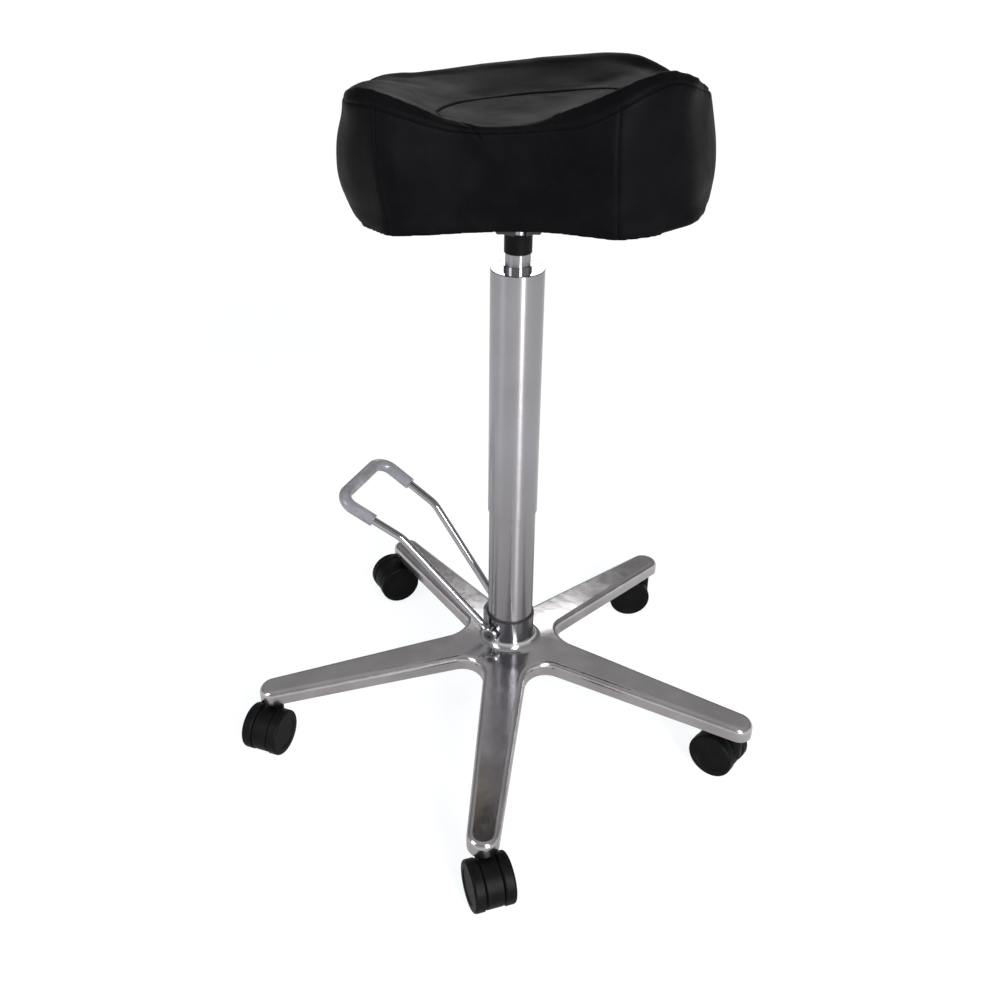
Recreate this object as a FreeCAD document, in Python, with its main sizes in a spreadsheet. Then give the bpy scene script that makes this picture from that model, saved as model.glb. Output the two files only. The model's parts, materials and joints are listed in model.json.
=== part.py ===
import FreeCAD, Part
import math
import os
import Sketcher

# A height-adjustable lab stool on five twin-wheel castors.
# Millimetres, +Z up, floor at z = 0. The origin is the centre of the stool's bounding box on the floor;
# the column stands beside it at (column_x, column_y).

Vector = FreeCAD.Vector
doc = FreeCAD.newDocument("LabStool")
dims = doc.addObject("Spreadsheet::Sheet", "Dims")

SIZES = {
    # Where the column stands.
    "column_x": (16.6, "column axis from the origin, sideways"),
    "column_y": (37.4, "column axis from the origin, front to back"),
    # Five-arm base.
    "first_arm_angle": (-94.5, "direction of the front arm, degrees from +X"),
    "castor_circle_r": (308.0, "column axis to castor stem"),
    "arm_end_r": (18.5, "rounded arm end"),
    "arm_root_half": (27.0, "half width of an arm where it leaves the hub"),
    "arm_root_r": (60.0, "radius where the arm's root width is measured"),
    "arm_end_top": (85.4, "top of the arm over the castor stem"),
    "arm_axis_top": (122.13, "top of the arms, carried on to the column axis"),
    "arm_height": (18.5, "height of the arm's side"),
    "arm_wall": (4.0, "casting wall"),
    "arm_corner_r": (30.0, "plan radius between neighbouring arms"),
    "arm_crown_r": (7.0, "rounding along the arm's top edges"),
    "neck_flare_r": (12.0, "hollow rounding from the neck to the arms"),
    "hub_boss_r": (36.0, "central boss under the arms"),
    "hub_bottom": (84.0, "underside of the central boss"),
    "hub_access_r": (22.0, "access hole in the hub's underside"),
    "tube_seat_z": (92.0, "shoulder on which the lower tube stands"),
    "stem_boss_r": (11.0, "boss round a castor socket"),
    "cap_plate": (2.5, "thickness of the hub's bottom cap"),
    "cap_rim_depth": (6.0, "how far the bottom cap's rim goes in"),
    # Collar round the foot of the column.
    "collar_r": (30.7, "outer radius of the collar"),
    "collar_bottom": (127.0, "lower edge of the collar"),
    "collar_top": (158.5, "upper edge of the collar"),
    "lug_reach": (34.5, "lug on the pedal side, from the column axis"),
    "lug_half": (10.0, "half width of the lug"),
    "lug_edge_r": (3.3, "rounding of the lug's upright edges"),
    "seal_r": (30.2, "outer radius of the collar seal"),
    "seal_height": (2.0, "height of the collar seal"),
    # Telescopic column.
    "lower_tube_r": (28.45, "outer radius of the lower tube"),
    "lower_tube_wall": (2.0, "wall of the lower tube"),
    "lower_tube_top": (440.0, "top of the lower tube"),
    "upper_tube_r": (30.0, "outer radius of the upper tube"),
    "upper_tube_wall": (1.2, "wall of the upper tube"),
    "upper_tube_bottom": (313.0, "lower end of the upper tube, seat raised"),
    "upper_tube_top": (618.0, "top of the upper tube, seat raised"),
    "tube_chamfer": (0.5, "edge break on the upper tube"),
    "end_boss_bevel": (1.0, "edge bevel of the pedal's round ends"),
    "guide_length": (40.0, "length of the guide bush in the lower tube"),
    "guide_flange": (3.0, "flange of the guide bush"),
    "fit": (0.05, "radial clearance of running fits"),
    "seat_gap": (0.3, "gap at a loose seat"),
    # Gas lift.
    "cylinder_r": (14.0, "outer radius of the gas cylinder"),
    "cylinder_wall": (2.0, "wall of the gas cylinder"),
    "cylinder_bottom": (372.0, "lower end of the gas cylinder, seat raised"),
    "gland_length": (12.0, "end gland of the gas cylinder"),
    "rod_r": (5.0, "piston rod radius"),
    "rod_bottom": (145.2, "lower end of the piston rod"),
    "piston_length": (10.0, "length of the piston"),
    "piston_gap": (0.1, "piston to cylinder wall"),
    "rod_flange_r": (9.0, "flange of the rod on the bearing"),
    "rod_flange": (3.0, "thickness of that flange"),
    "clip_r": (8.0, "outer radius of the rod's clip"),
    "clip_thick": (1.2, "thickness of the rod's clip"),
    "clip_groove": (0.8, "depth of the clip's groove"),
    "pin_r": (2.0, "release pin radius"),
    "pin_length": (56.0, "release pin length"),
    "pin_stroke": (3.0, "free travel over the release pin"),
    "foot_thick": (8.0, "thickness of the column's foot"),
    "foot_bottom": (149.5, "underside of the column's foot"),
    "race_inner_r": (6.0, "inner radius of the bearing races"),
    "race_outer_r": (13.0, "outer radius of the bearing races"),
    "race_thick": (1.5, "thickness of a bearing race"),
    "ball_r": (2.0, "bearing ball radius"),
    "ball_count": (10, "balls in the bearing"),
    # Column head.
    "top_cap_thick": (7.0, "thickness of the column's top cap"),
    "top_cap_gap": (0.3, "gap round the top cap"),
    "cap_ring_wall": (1.6, "wall of the ring on the top cap"),
    "cap_ring_height": (4.5, "height of the ring on the top cap"),
    "sleeve_lift": (18.0, "bare gas cylinder between the top cap and the black sleeve"),
    "sleeve_height": (22.0, "height of the black sleeve"),
    "cylinder_in_hub": (4.0, "how far the gas cylinder goes into the seat hub"),
    "sleeve_wall": (1.25, "wall of the black sleeve"),
    "sleeve_edge_r": (0.9, "rounding of the sleeve's lower edge"),
    # Foot pedal. Its frame has x out along the pedal, y along the pivot.
    "pedal_angle": (158.6, "direction of the pedal, degrees from +X"),
    "pivot_x": (14.0, "pivot from the column axis"),
    "pivot_z": (139.0, "height of the pivot"),
    "pivot_r": (5.0, "pivot shaft radius"),
    "bush_wall": (1.2, "wall of a pivot bush"),
    "bush_flange_r": (8.5, "flange of a pivot bush"),
    "bush_flange": (1.3, "thickness of that flange"),
    "pivot_boss_r": (9.0, "round boss on the collar at the pivot"),
    "pivot_boss_half": (28.3, "half width over those bosses"),
    "end_boss_r": (10.5, "round end of the pedal rod"),
    "end_boss_thick": (8.0, "thickness of that round end"),
    "end_boss_gap": (0.8, "round end to the collar beside it"),
    "screw_head_r": (7.4, "pivot screw head"),
    "screw_head": (3.0, "thickness of the pivot screw head"),
    "screw_r": (2.5, "pivot screw shank"),
    "screw_length": (14.0, "pivot screw shank length"),
    "socket_key": (6.0, "hexagon in the screw head, across flats"),
    "socket_depth": (2.2, "depth of that hexagon"),
    "pedal_rod_r": (5.0, "pedal rod radius"),
    "rod_heel_x": (28.6, "rod's bend beside the pivot, out"),
    "rod_heel_half": (25.8, "rod's bend beside the pivot, sideways"),
    "rod_heel_z": (146.5, "rod's bend beside the pivot, height"),
    "rod_knee_x": (128.4, "rod's knee, out"),
    "rod_knee_half": (46.3, "rod's knee, sideways"),
    "rod_knee_z": (263.1, "rod's knee, height"),
    "rod_tip_x": (211.3, "rod's corner, out"),
    "rod_tip_half": (55.2, "rod's corner, sideways"),
    "rod_tip_z": (305.4, "rod's corner, height"),
    "heel_bend_r": (14.0, "bend of the rod beside the pivot"),
    "knee_bend_r": (40.0, "bend of the rod at the knee"),
    "tip_bend_r": (19.0, "bend of the rod at the corner"),
    "grip_r": (8.0, "outer radius of the soft pedal sleeve"),
    "grip_leg": (51.0, "sleeve on each leg, from the corner point"),
    "finger_hub_r": (7.0, "finger's ring on the pivot shaft"),
    "finger_half": (5.0, "half width of the finger"),
    "finger_tip_r": (3.0, "rounded tip of the finger"),
    "spring_wire_r": (0.6, "return spring wire radius"),
    "spring_coil_r": (5.9, "return spring coil radius"),
    "spring_pitch": (1.6, "return spring pitch"),
    "spring_turns": (4, "return spring turns"),
    "spring_leg": (9.0, "return spring leg"),
    # Seat. Its frame leans and turns with the pad.
    "seat_turn": (-8.1, "turn of the seat about the column, degrees"),
    "seat_lean": (3.1, "sideways lean of the seat, right side up, degrees"),
    "hub_wall": (4.0, "wall of the seat plate's socket"),
    "hub_slot_width": (12.6, "slot in the socket's front"),
    "hub_slot_height": (8.0, "height of that slot"),
    "hub_slot_shift": (2.0, "slot to the right of the column axis"),
    "plate_thick": (2.5, "seat plate sheet"),
    "plate_length": (156.0, "seat plate, front to back"),
    "plate_width": (160.0, "seat plate, side to side"),
    "plate_corner_r": (18.0, "corner of the seat plate"),
    "gusset_gap": (0.5, "gussets' lower edge over the black sleeve"),
    "gusset_half": (23.0, "half width of the gussets' lower edge"),
    "gusset_spread": (22.0, "how much wider the gussets are at the top, each side"),
    "gusset_y": (12.0, "gussets' outer face, from the column axis"),
    "bolt_pitch_x": (120.0, "bolts, side to side"),
    "bolt_pitch_y": (120.0, "bolts, front to back"),
    "bolt_r": (4.0, "seat bolt shank"),
    "bolt_head_r": (7.5, "seat bolt head"),
    "bolt_head": (5.5, "height of the seat bolt head"),
    "nut_r": (5.5, "barrel of a board nut"),
    "nut_flange_r": (11.0, "flange of a board nut"),
    "nut_flange": (1.5, "thickness of that flange"),
    "hub_rise": (33.0, "underside of the seat board and of the pad over the black sleeve"),
    "board_thick": (12.0, "seat board"),
    "board_inset": (8.0, "seat board from the pad's bottom edge"),
    "pad_shift": (2.9, "pad to the right of the column axis"),
    "pad_front_dip": (116.5, "middle of the pad's front, from the column axis"),
    "pad_back_reach": (168.8, "middle of the pad's back, from the column axis"),
    "pad_half_width": (192.7, "half width of the pad"),
    "pad_rim_width": (32.0, "width of the rim round the sitting surface"),
    "pad_rim_fall": (7.0, "height of the rim over the sitting surface's edge"),
    "pad_seam_fall": (8.0, "top seam below the rim"),
    "pad_seam_inset": (3.0, "top seam behind the wall's face"),
    # Castors. Their frame has the stem at x = 0 and the axle at x = castor_trail.
    "castor_trail": (20.8, "stem to axle"),
    "wheel_r": (29.5, "castor wheel radius"),
    "wheel_width": (13.0, "castor wheel width"),
    "wheel_edge_r": (3.0, "rounding of the wheel's outer edge"),
    "wheel_inner_edge": (1.4, "bevel of the wheel's inner edge"),
    "wheel_dish_r": (21.0, "shallow dish in the wheel's outer face"),
    "wheel_dish": (1.0, "depth of that dish"),
    "wheel_gap": (0.9, "wheel to hood"),
    "hood_width": (20.2, "castor hood width"),
    "hood_r": (28.6, "castor hood radius"),
    "hood_floor": (4.5, "hood above the floor"),
    "hood_edge": (1.2, "bevel of the hood's edges"),
    "hood_boss_r": (9.6, "hood round the stem"),
    "axle_r": (3.0, "castor axle radius"),
    "axle_bite": (9.0, "how far the axle goes into a wheel"),
    "stem_r": (5.5, "castor stem radius"),
    "stem_bottom": (40.0, "lower end of the stem"),
    "stem_top": (79.0, "upper end of the stem"),
    "socket_wall": (2.0, "wall of a castor socket"),
    "socket_flange_r": (9.0, "flange of a castor socket"),
    "socket_flange": (1.4, "thickness of that flange"),
}

CASTOR_TRAILS = {
    # Arm name: arms from the front one anticlockwise, and the direction that the castor trails, in degrees.
    "front": (0, -69.9),
    "right": (1, 142.8),
    "back_right": (2, 183.0),
    "back_left": (3, 207.7),
    "left": (4, 250.5),
}
ARM_COUNT = len(CASTOR_TRAILS)
# Points nearer than this count as one when an edge is looked up.
SAME_PLACE = 0.05
HEXAGON_SIDES = 6


class Size:
    """A length that knows both its number and its expression in the sheet."""

    def __init__(self, number, text):
        self.number = number
        self.text = text

    def join(self, sign, other, number):
        return Size(number, "(%s %s %s)" % (self.text, sign, size(other).text))

    def __add__(self, other):
        return self.join("+", other, self.number + size(other).number)

    def __radd__(self, other):
        return size(other) + self

    def __sub__(self, other):
        return self.join("-", other, self.number - size(other).number)

    def __rsub__(self, other):
        return size(other) - self

    def __mul__(self, other):
        return self.join("*", other, self.number * size(other).number)

    def __rmul__(self, other):
        return size(other) * self

    def __truediv__(self, other):
        return self.join("/", other, self.number / size(other).number)

    def __neg__(self):
        return size(0) - self

    def __float__(self):
        return float(self.number)


def size(value):
    return value if isinstance(value, Size) else Size(value, repr(value))


class Sheet:
    """Holds every driving dimension by name, each as a Size bound to its cell."""


def fill_sheet():
    for row, (alias, (number, meaning)) in enumerate(SIZES.items(), start=1):
        dims.set("A%d" % row, meaning)
        dims.set("B%d" % row, str(number))
        dims.setAlias("B%d" % row, alias)
    doc.recompute()
    for alias in SIZES:
        setattr(Sheet, alias, Size(float(getattr(dims, alias)), "Dims." + alias))


fill_sheet()
D = Sheet
nodes = []


def bind(item, prop, value):
    value = size(value)
    item.setExpression(prop, value.text)


def keep(item, label, place):
    """Names a finished sub-part, places it and lists it for export."""
    item.Label = label
    item.Placement = place
    nodes.append(item)
    return item


def solid_from(label, shape, place):
    feature = doc.addObject("Part::Feature", label)
    feature.Shape = shape
    return keep(feature, label, place)


def origin_plane(body, role):
    for item in body.Origin.OriginFeatures:
        if item.Role == role:
            return item
    raise ValueError(role)


# Frames.

def at(x=0.0, y=0.0, z=0.0, turn=0.0):
    return FreeCAD.Placement(
        Vector(float(x), float(y), float(z)), FreeCAD.Rotation(Vector(0, 0, 1), float(turn))
    )


def lower_bore():
    """Inner radius of the lower tube."""
    return D.lower_tube_r - D.lower_tube_wall


def sleeve_bottom():
    """Lower edge of the black sleeve, seat raised."""
    return D.upper_tube_top + D.sleeve_lift


def sleeve_top():
    return sleeve_bottom() + D.sleeve_height


def cylinder_top():
    """Upper end of the gas cylinder, seat raised."""
    return sleeve_top() + D.cylinder_in_hub


def board_bottom():
    """Underside of the seat board and of the pad, seat raised."""
    return sleeve_top() + D.hub_rise


COLUMN = at(D.column_x, D.column_y)
PEDAL = COLUMN * at(turn=D.pedal_angle)
# A frame whose Z runs along the pedal's pivot, its X out along the pedal.
LYING = FreeCAD.Placement(Vector(0, 0, 0), FreeCAD.Rotation(Vector(1, 0, 0), -90))
PIVOT = PEDAL * at(D.pivot_x, 0, D.pivot_z) * LYING
SEAT = (
    COLUMN
    * at(z=board_bottom(), turn=D.seat_turn)
    * FreeCAD.Placement(Vector(0, 0, 0), FreeCAD.Rotation(Vector(0, 1, 0), -float(D.seat_lean)))
    * at(z=-board_bottom())
)


def arm_angle(index):
    return float(D.first_arm_angle) + index * 360.0 / ARM_COUNT


def arm_frame(index):
    return COLUMN * at(turn=arm_angle(index))


def stem_frame(index):
    return arm_frame(index) * at(x=D.castor_circle_r)


def castor_frame(name):
    index, trail = CASTOR_TRAILS[name]
    return stem_frame(index) * at(turn=trail - arm_angle(index))


# Shapes that several sub-parts are made with.

def sketch_polygon(body, points, role="XZ_Plane"):
    """A closed polygon on one of the body's own planes, each corner bound to the sheet."""
    sketch = body.newObject("Sketcher::SketchObject", body.Name + "Sketch")
    sketch.AttachmentSupport = [(origin_plane(body, role), "")]
    sketch.MapMode = "FlatFace"
    points = [(size(x), size(y)) for x, y in points]
    ends = points[1:] + points[:1]
    for corners in zip(points, ends):
        start, end = [Vector(float(x), float(y), 0) for x, y in corners]
        sketch.addGeometry(Part.LineSegment(start, end), False)
    count = len(points)
    for i in range(count):
        sketch.addConstraint(Sketcher.Constraint("Coincident", i, 2, (i + 1) % count, 1))
    for i, corner in enumerate(points):
        for kind, axis, value in (("DistanceX", -2, corner[0]), ("DistanceY", -1, corner[1])):
            if value.text == "0":
                sketch.addConstraint(Sketcher.Constraint("PointOnObject", i, 1, axis))
                continue
            index = sketch.addConstraint(Sketcher.Constraint(kind, -1, 1, i, 1, float(value)))
            sketch.setExpression("Constraints[%d]" % index, value.text)
    return sketch


def turned(label, points, place):
    """A turned piece: a PartDesign body that revolves a profile of (radius, height) corners."""
    body = doc.addObject("PartDesign::Body", label)
    sketch = sketch_polygon(body, points)
    turn = body.newObject("PartDesign::Revolution", label + "Turn")
    turn.Profile = sketch
    turn.ReferenceAxis = (sketch, ["V_Axis"])
    turn.Angle = 360
    sketch.Visibility = False
    doc.recompute()
    return keep(body, label, place)


def ring(label, inner, outer, bottom, top, place):
    return turned(label, [(inner, bottom), (outer, bottom), (outer, top), (inner, top)], place)


def cylinder(radius, bottom, top, x=0.0, y=0.0):
    foot = Vector(float(x), float(y), float(bottom))
    return Part.makeCylinder(float(radius), float(top) - float(bottom), foot)


def rod_along_y(radius, start, end, x, z):
    return Part.makeCylinder(
        float(radius), float(end) - float(start), Vector(float(x), float(start), float(z)), Vector(0, 1, 0)
    )


def circle_edges(shape, radius, height):
    """The full or part circles of one radius at one height."""
    found = []
    for edge in shape.Edges:
        curve = edge.Curve
        alike = isinstance(curve, Part.Circle) and abs(curve.Radius - float(radius)) < SAME_PLACE
        if alike and abs(curve.Center.z - float(height)) < SAME_PLACE:
            found.append(edge)
    return found


def edge_names(shape, wanted):
    return ["Edge%d" % (i + 1) for i, edge in enumerate(shape.Edges) if any(edge.isSame(w) for w in wanted)]


def dress(body, kind, wanted, prop, value):
    """A PartDesign fillet or chamfer on chosen edges of the body."""
    base = body.Tip
    feature = body.newObject(kind, body.Name + kind.split("::")[1])
    feature.Base = (base, edge_names(base.Shape, wanted(base.Shape)))
    bind(feature, prop, value)
    doc.recompute()
    return feature


# Base casting.

def star_outline(shrink, z):
    """Plan outline of the five arms, drawn in by a wall, as lines and arcs at one height."""
    end_r = float(D.arm_end_r) - shrink
    reach = float(D.castor_circle_r)
    root = Vector(float(D.arm_root_r), float(D.arm_root_half) - shrink, 0)
    # The side leaves the end arc tangentially and passes the root point.
    spread = Vector(reach, 0, 0) - root
    lean = math.asin(end_r / spread.Length) - math.atan2(-spread.y, spread.x)
    normal = Vector(-math.sin(lean), math.cos(lean), 0)
    touch = Vector(reach, 0, 0) + normal * end_r
    along = Vector(-normal.y, normal.x, 0)
    if along.x > 0:
        along = along * -1
    half_step = math.pi / ARM_COUNT
    # The corner arc is centred on the line between two arms and touches both sides.
    corner_r = float(D.arm_corner_r) + shrink
    bisector = Vector(math.cos(half_step), math.sin(half_step), 0)
    offset = touch + normal * corner_r
    steps = (offset.x * along.y - offset.y * along.x) / (bisector.x * along.y - bisector.y * along.x)
    centre = bisector * steps
    touch_corner = centre - normal * corner_r
    lift = Vector(0, 0, z)
    edges = []
    for index in range(ARM_COUNT):
        turn = FreeCAD.Rotation(Vector(0, 0, 1), arm_angle(index))
        step = FreeCAD.Rotation(Vector(0, 0, 1), 360.0 / ARM_COUNT)
        mirror_touch = Vector(touch.x, -touch.y, 0)
        mirror_corner = Vector(touch_corner.x, -touch_corner.y, 0)
        tip = Vector(reach + end_r, 0, 0)
        corner_mid = centre - bisector * corner_r
        corners = (mirror_corner, mirror_touch, tip, touch, touch_corner, corner_mid)
        place = [turn.multVec(corner) + lift for corner in corners]
        following = turn.multVec(step.multVec(mirror_corner)) + lift
        edges.append(Part.LineSegment(place[0], place[1]).toShape())
        edges.append(Part.Arc(place[1], place[2], place[3]).toShape())
        edges.append(Part.LineSegment(place[3], place[4]).toShape())
        edges.append(Part.Arc(place[4], place[5], following).toShape())
    return Part.Wire(edges)


def arm_slope():
    """Fall of the arms' top from the hub to the castors, as an angle."""
    return math.atan(float(D.arm_axis_top - D.arm_end_top) / float(D.castor_circle_r))


def arm_top(radius):
    """Height of the arms' top at a distance from the column axis."""
    return float(D.arm_axis_top) - radius * math.tan(arm_slope())


def cone_slab(below_top, thickness):
    """The space between two cones that follow the arms' top."""
    far = float(D.castor_circle_r) + 2 * float(D.arm_end_r)
    corners = [
        Vector(0, 0, arm_top(0) - below_top),
        Vector(far, 0, arm_top(far) - below_top),
        Vector(far, 0, arm_top(far) - below_top - thickness),
        Vector(0, 0, arm_top(0) - below_top - thickness),
    ]
    face = Part.Face(Part.makePolygon(corners + corners[:1]))
    return face.revolve(Vector(0, 0, 0), Vector(0, 0, 1), 360)


def star(shrink, below_top, thickness):
    tall = Part.Face(star_outline(shrink, 0)).extrude(Vector(0, 0, 2 * arm_top(0)))
    return tall.common(cone_slab(below_top, thickness))


def neck():
    """The hub's neck, flaring into the arms' top."""
    inner = float(D.lower_tube_r) + float(D.fit)
    flare = float(D.neck_flare_r)
    slope = arm_slope()
    centre_x = float(D.collar_r) + flare
    # The flare's circle touches the neck's side and the arms' cone.
    centre_z = arm_top(centre_x) + flare / math.cos(slope)
    touch_x = centre_x - flare * math.sin(slope)
    touch_z = centre_z - flare * math.cos(slope)
    low = arm_top(0) - float(D.arm_height)
    middle = math.pi + (math.pi / 2 - slope) / 2
    arc = Part.Arc(
        Vector(centre_x - flare, 0, centre_z),
        Vector(centre_x + flare * math.cos(middle), 0, centre_z + flare * math.sin(middle)),
        Vector(touch_x, 0, touch_z),
    ).toShape()
    corners = [
        Vector(touch_x, 0, touch_z),
        Vector(touch_x, 0, low),
        Vector(inner, 0, low),
        Vector(inner, 0, float(D.collar_bottom)),
        Vector(float(D.collar_r), 0, float(D.collar_bottom)),
        Vector(centre_x - flare, 0, centre_z),
    ]
    lines = [Part.LineSegment(a, b).toShape() for a, b in zip(corners[:-1], corners[1:])]
    face = Part.Face(Part.Wire([arc] + lines))
    return face.revolve(Vector(0, 0, 0), Vector(0, 0, 1), 360)


def arm_crown_edges(shape):
    """The edges where the arms' sides meet their top."""
    found = []
    for edge in shape.Edges:
        mid = edge.valueAt((edge.FirstParameter + edge.LastParameter) / 2)
        radius = math.hypot(mid.x, mid.y)
        level = abs(mid.z - arm_top(radius)) < SAME_PLACE
        ends = [v.Point for v in edge.Vertexes]
        level_ends = all(abs(p.z - arm_top(math.hypot(p.x, p.y))) < SAME_PLACE for p in ends)
        if level and level_ends and radius > float(D.collar_r):
            found.append(edge)
    return found


def base_casting():
    height = float(D.arm_height)
    wall = float(D.arm_wall)
    body = star(0.0, 0.0, height)
    body = body.makeFillet(float(D.arm_crown_r), arm_crown_edges(body))
    hollow = star(wall, wall, height)
    bosses = [cylinder(D.hub_boss_r, 0, arm_top(0))]
    bore_r = float(D.stem_r) + float(D.fit) + float(D.socket_wall)
    sockets = []
    for index in range(ARM_COUNT):
        turn = FreeCAD.Rotation(Vector(0, 0, 1), arm_angle(index))
        spot = turn.multVec(Vector(float(D.castor_circle_r), 0, 0))
        bosses.append(cylinder(D.stem_boss_r, 0, arm_top(0), spot.x, spot.y))
        sockets.append(cylinder(bore_r, 0, D.stem_top + D.seat_gap, spot.x, spot.y))
    body = body.cut(hollow.cut(bosses[0].multiFuse(bosses[1:])))
    low_boss = cylinder(D.hub_boss_r, D.hub_bottom, arm_top(0) - wall)
    body = body.fuse([low_boss, neck()])
    # The tips' undersides are cut level, so that the sockets' flanges seat flat.
    level = arm_underside()
    centres = [socket.BoundBox.Center for socket in sockets]
    trims = [cylinder(D.arm_end_r * 2, level - height, level, c.x, c.y) for c in centres]
    tube_bore = cylinder(D.lower_tube_r + D.fit, D.tube_seat_z, D.collar_top)
    access = cylinder(D.hub_access_r, D.hub_bottom - wall, D.tube_seat_z + wall)
    body = body.cut([tube_bore, access] + sockets + trims)
    return solid_from("base_casting", body.removeSplitter(), COLUMN)


def arm_underside():
    """The level underside at an arm's tip, where a castor socket seats."""
    return arm_top(float(D.castor_circle_r) + float(D.arm_end_r)) - float(D.arm_height)


def socket_frame(index):
    return stem_frame(index) * at(z=arm_underside())


def castor_sockets():
    """Five flanged sleeves pressed into the arms' ends, in one node."""
    inner = D.stem_r + D.fit
    outer = inner + D.socket_wall
    sleeves = []
    for index in range(ARM_COUNT):
        top = float(D.stem_top) - arm_underside()
        sleeve = cylinder(outer, 0, top).fuse(cylinder(D.socket_flange_r, -D.socket_flange, 0))
        sleeve = sleeve.cut(cylinder(inner, -D.socket_flange, top))
        sleeve.Placement = COLUMN.inverse() * socket_frame(index)
        sleeves.append(sleeve)
    return solid_from("castor_stem_sockets", Part.makeCompound(sleeves), COLUMN)


def bottom_cap():
    inner = D.hub_access_r - D.cap_plate
    outer = D.hub_access_r - D.fit
    brim = D.hub_boss_r - D.cap_plate
    return turned("hub_bottom_cap", [
        (0, D.hub_bottom - D.cap_plate),
        (brim, D.hub_bottom - D.cap_plate),
        (brim, D.hub_bottom),
        (outer, D.hub_bottom),
        (outer, D.hub_bottom + D.cap_rim_depth),
        (inner, D.hub_bottom + D.cap_rim_depth),
        (inner, D.hub_bottom),
        (0, D.hub_bottom),
    ], COLUMN)


# Collar, tube and pivot bushes.

def bush_outer_r():
    return D.pivot_r + D.fit + D.bush_wall


def hub_collar():
    """The bright collar, with the lug on the pedal side and the two pivot bosses."""
    bore = cylinder(D.lower_tube_r + D.fit, D.collar_bottom, D.collar_top)
    wall = cylinder(D.collar_r, D.collar_bottom, D.collar_top)
    lug = Part.makeBox(
        float(D.lug_reach),
        2 * float(D.lug_half),
        float(D.collar_top) - float(D.collar_bottom),
        Vector(0, -float(D.lug_half), float(D.collar_bottom)),
    )
    uprights = [e for e in lug.Edges if e.BoundBox.ZLength > D.fit.number and e.CenterOfMass.x > D.fit.number]
    lug = lug.makeFillet(float(D.lug_edge_r), uprights)
    bosses = rod_along_y(D.pivot_boss_r, -D.pivot_boss_half, D.pivot_boss_half, D.pivot_x, D.pivot_z)
    body = wall.fuse([lug, bosses]).cut(bore)
    # Flats beside the pivot, where the pedal's round ends turn.
    flat_r = D.end_boss_r + D.end_boss_gap
    flats = [
        rod_along_y(flat_r, D.pivot_boss_half, D.collar_r * 2, D.pivot_x, D.pivot_z),
        rod_along_y(flat_r, -D.collar_r * 2, -D.pivot_boss_half, D.pivot_x, D.pivot_z),
    ]
    body = body.cut(flats)
    bore = rod_along_y(bush_outer_r(), -D.pivot_boss_half, D.pivot_boss_half, D.pivot_x, D.pivot_z)
    body = body.cut(bore)
    return solid_from("hub_collar", body.removeSplitter(), PEDAL)


def collar_seal():
    return ring(
        "collar_seal", D.lower_tube_r + D.fit, D.seal_r, D.collar_top, D.collar_top + D.seal_height, COLUMN
    )


def lower_tube():
    body = ring(
        "lower_column_tube", lower_bore(), D.lower_tube_r, D.tube_seat_z, D.lower_tube_top, PEDAL
    )
    sketch = body.newObject("Sketcher::SketchObject", "PivotHole")
    sketch.AttachmentSupport = [(origin_plane(body, "XZ_Plane"), "")]
    sketch.MapMode = "FlatFace"
    spot = Vector(float(D.pivot_x), float(D.pivot_z), 0)
    sketch.addGeometry(Part.Circle(spot, Vector(0, 0, 1), float(bush_outer_r())), False)
    bound = (
        (Sketcher.Constraint("Radius", 0, float(bush_outer_r())), bush_outer_r()),
        (Sketcher.Constraint("DistanceX", -1, 1, 0, 3, float(D.pivot_x)), D.pivot_x),
        (Sketcher.Constraint("DistanceY", -1, 1, 0, 3, float(D.pivot_z)), D.pivot_z),
    )
    for constraint, value in bound:
        row = sketch.addConstraint(constraint)
        sketch.setExpression("Constraints[%d]" % row, value.text)
    pocket = body.newObject("PartDesign::Pocket", "PivotPocket")
    pocket.Profile = sketch
    pocket.Midplane = True
    bind(pocket, "Length", D.lower_tube_r * 3)
    doc.recompute()
    return body


def pivot_bushes():
    """Two flanged bushes, one in each side of the collar, in one node."""
    # The bushes end where the tube's bore is narrowest beside them.
    inner_end = math.sqrt(float(lower_bore()) ** 2 - float(D.pivot_x + bush_outer_r()) ** 2)
    face = float(D.pivot_boss_half)
    flange = float(D.bush_flange)
    both = []
    for side in (-1, 1):
        low, high = sorted((side * inner_end, side * (face + flange)))
        shell = rod_along_y(bush_outer_r(), low, high, D.pivot_x, D.pivot_z)
        low_flange, high_flange = sorted((side * face, side * (face + flange)))
        shell = shell.fuse(rod_along_y(D.bush_flange_r, low_flange, high_flange, D.pivot_x, D.pivot_z))
        both.append(shell.cut(rod_along_y(D.pivot_r + D.fit, low, high, D.pivot_x, D.pivot_z)))
    return solid_from("pivot_bushes", Part.makeCompound(both), PEDAL)


def column_guide():
    inner = D.cylinder_r + D.fit
    outer = lower_bore()
    low = D.lower_tube_top - D.guide_length
    return turned("column_guide_bush", [
        (inner, low),
        (outer, low),
        (outer, D.lower_tube_top),
        (D.lower_tube_r, D.lower_tube_top),
        (D.lower_tube_r, D.lower_tube_top + D.guide_flange),
        (inner, D.lower_tube_top + D.guide_flange),
    ], COLUMN)


# Foot, thrust bearing and gas lift.

def foot_top():
    return D.foot_bottom + D.foot_thick


def balls_z():
    return foot_top() + D.race_thick + D.ball_r


def upper_race_bottom():
    return balls_z() + D.ball_r + D.fit


def rod_flange_bottom():
    return upper_race_bottom() + D.race_thick


def piston_bottom():
    return D.cylinder_bottom + D.gland_length + D.seat_gap


def column_foot():
    ring("column_foot", D.rod_r + D.fit, lower_bore(), D.foot_bottom, foot_top(), COLUMN)
    ring("bearing_lower_race", D.race_inner_r, D.race_outer_r, foot_top(), foot_top() + D.race_thick, COLUMN)
    ring(
        "bearing_upper_race", D.race_inner_r, D.race_outer_r, upper_race_bottom(), rod_flange_bottom(), COLUMN
    )


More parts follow.
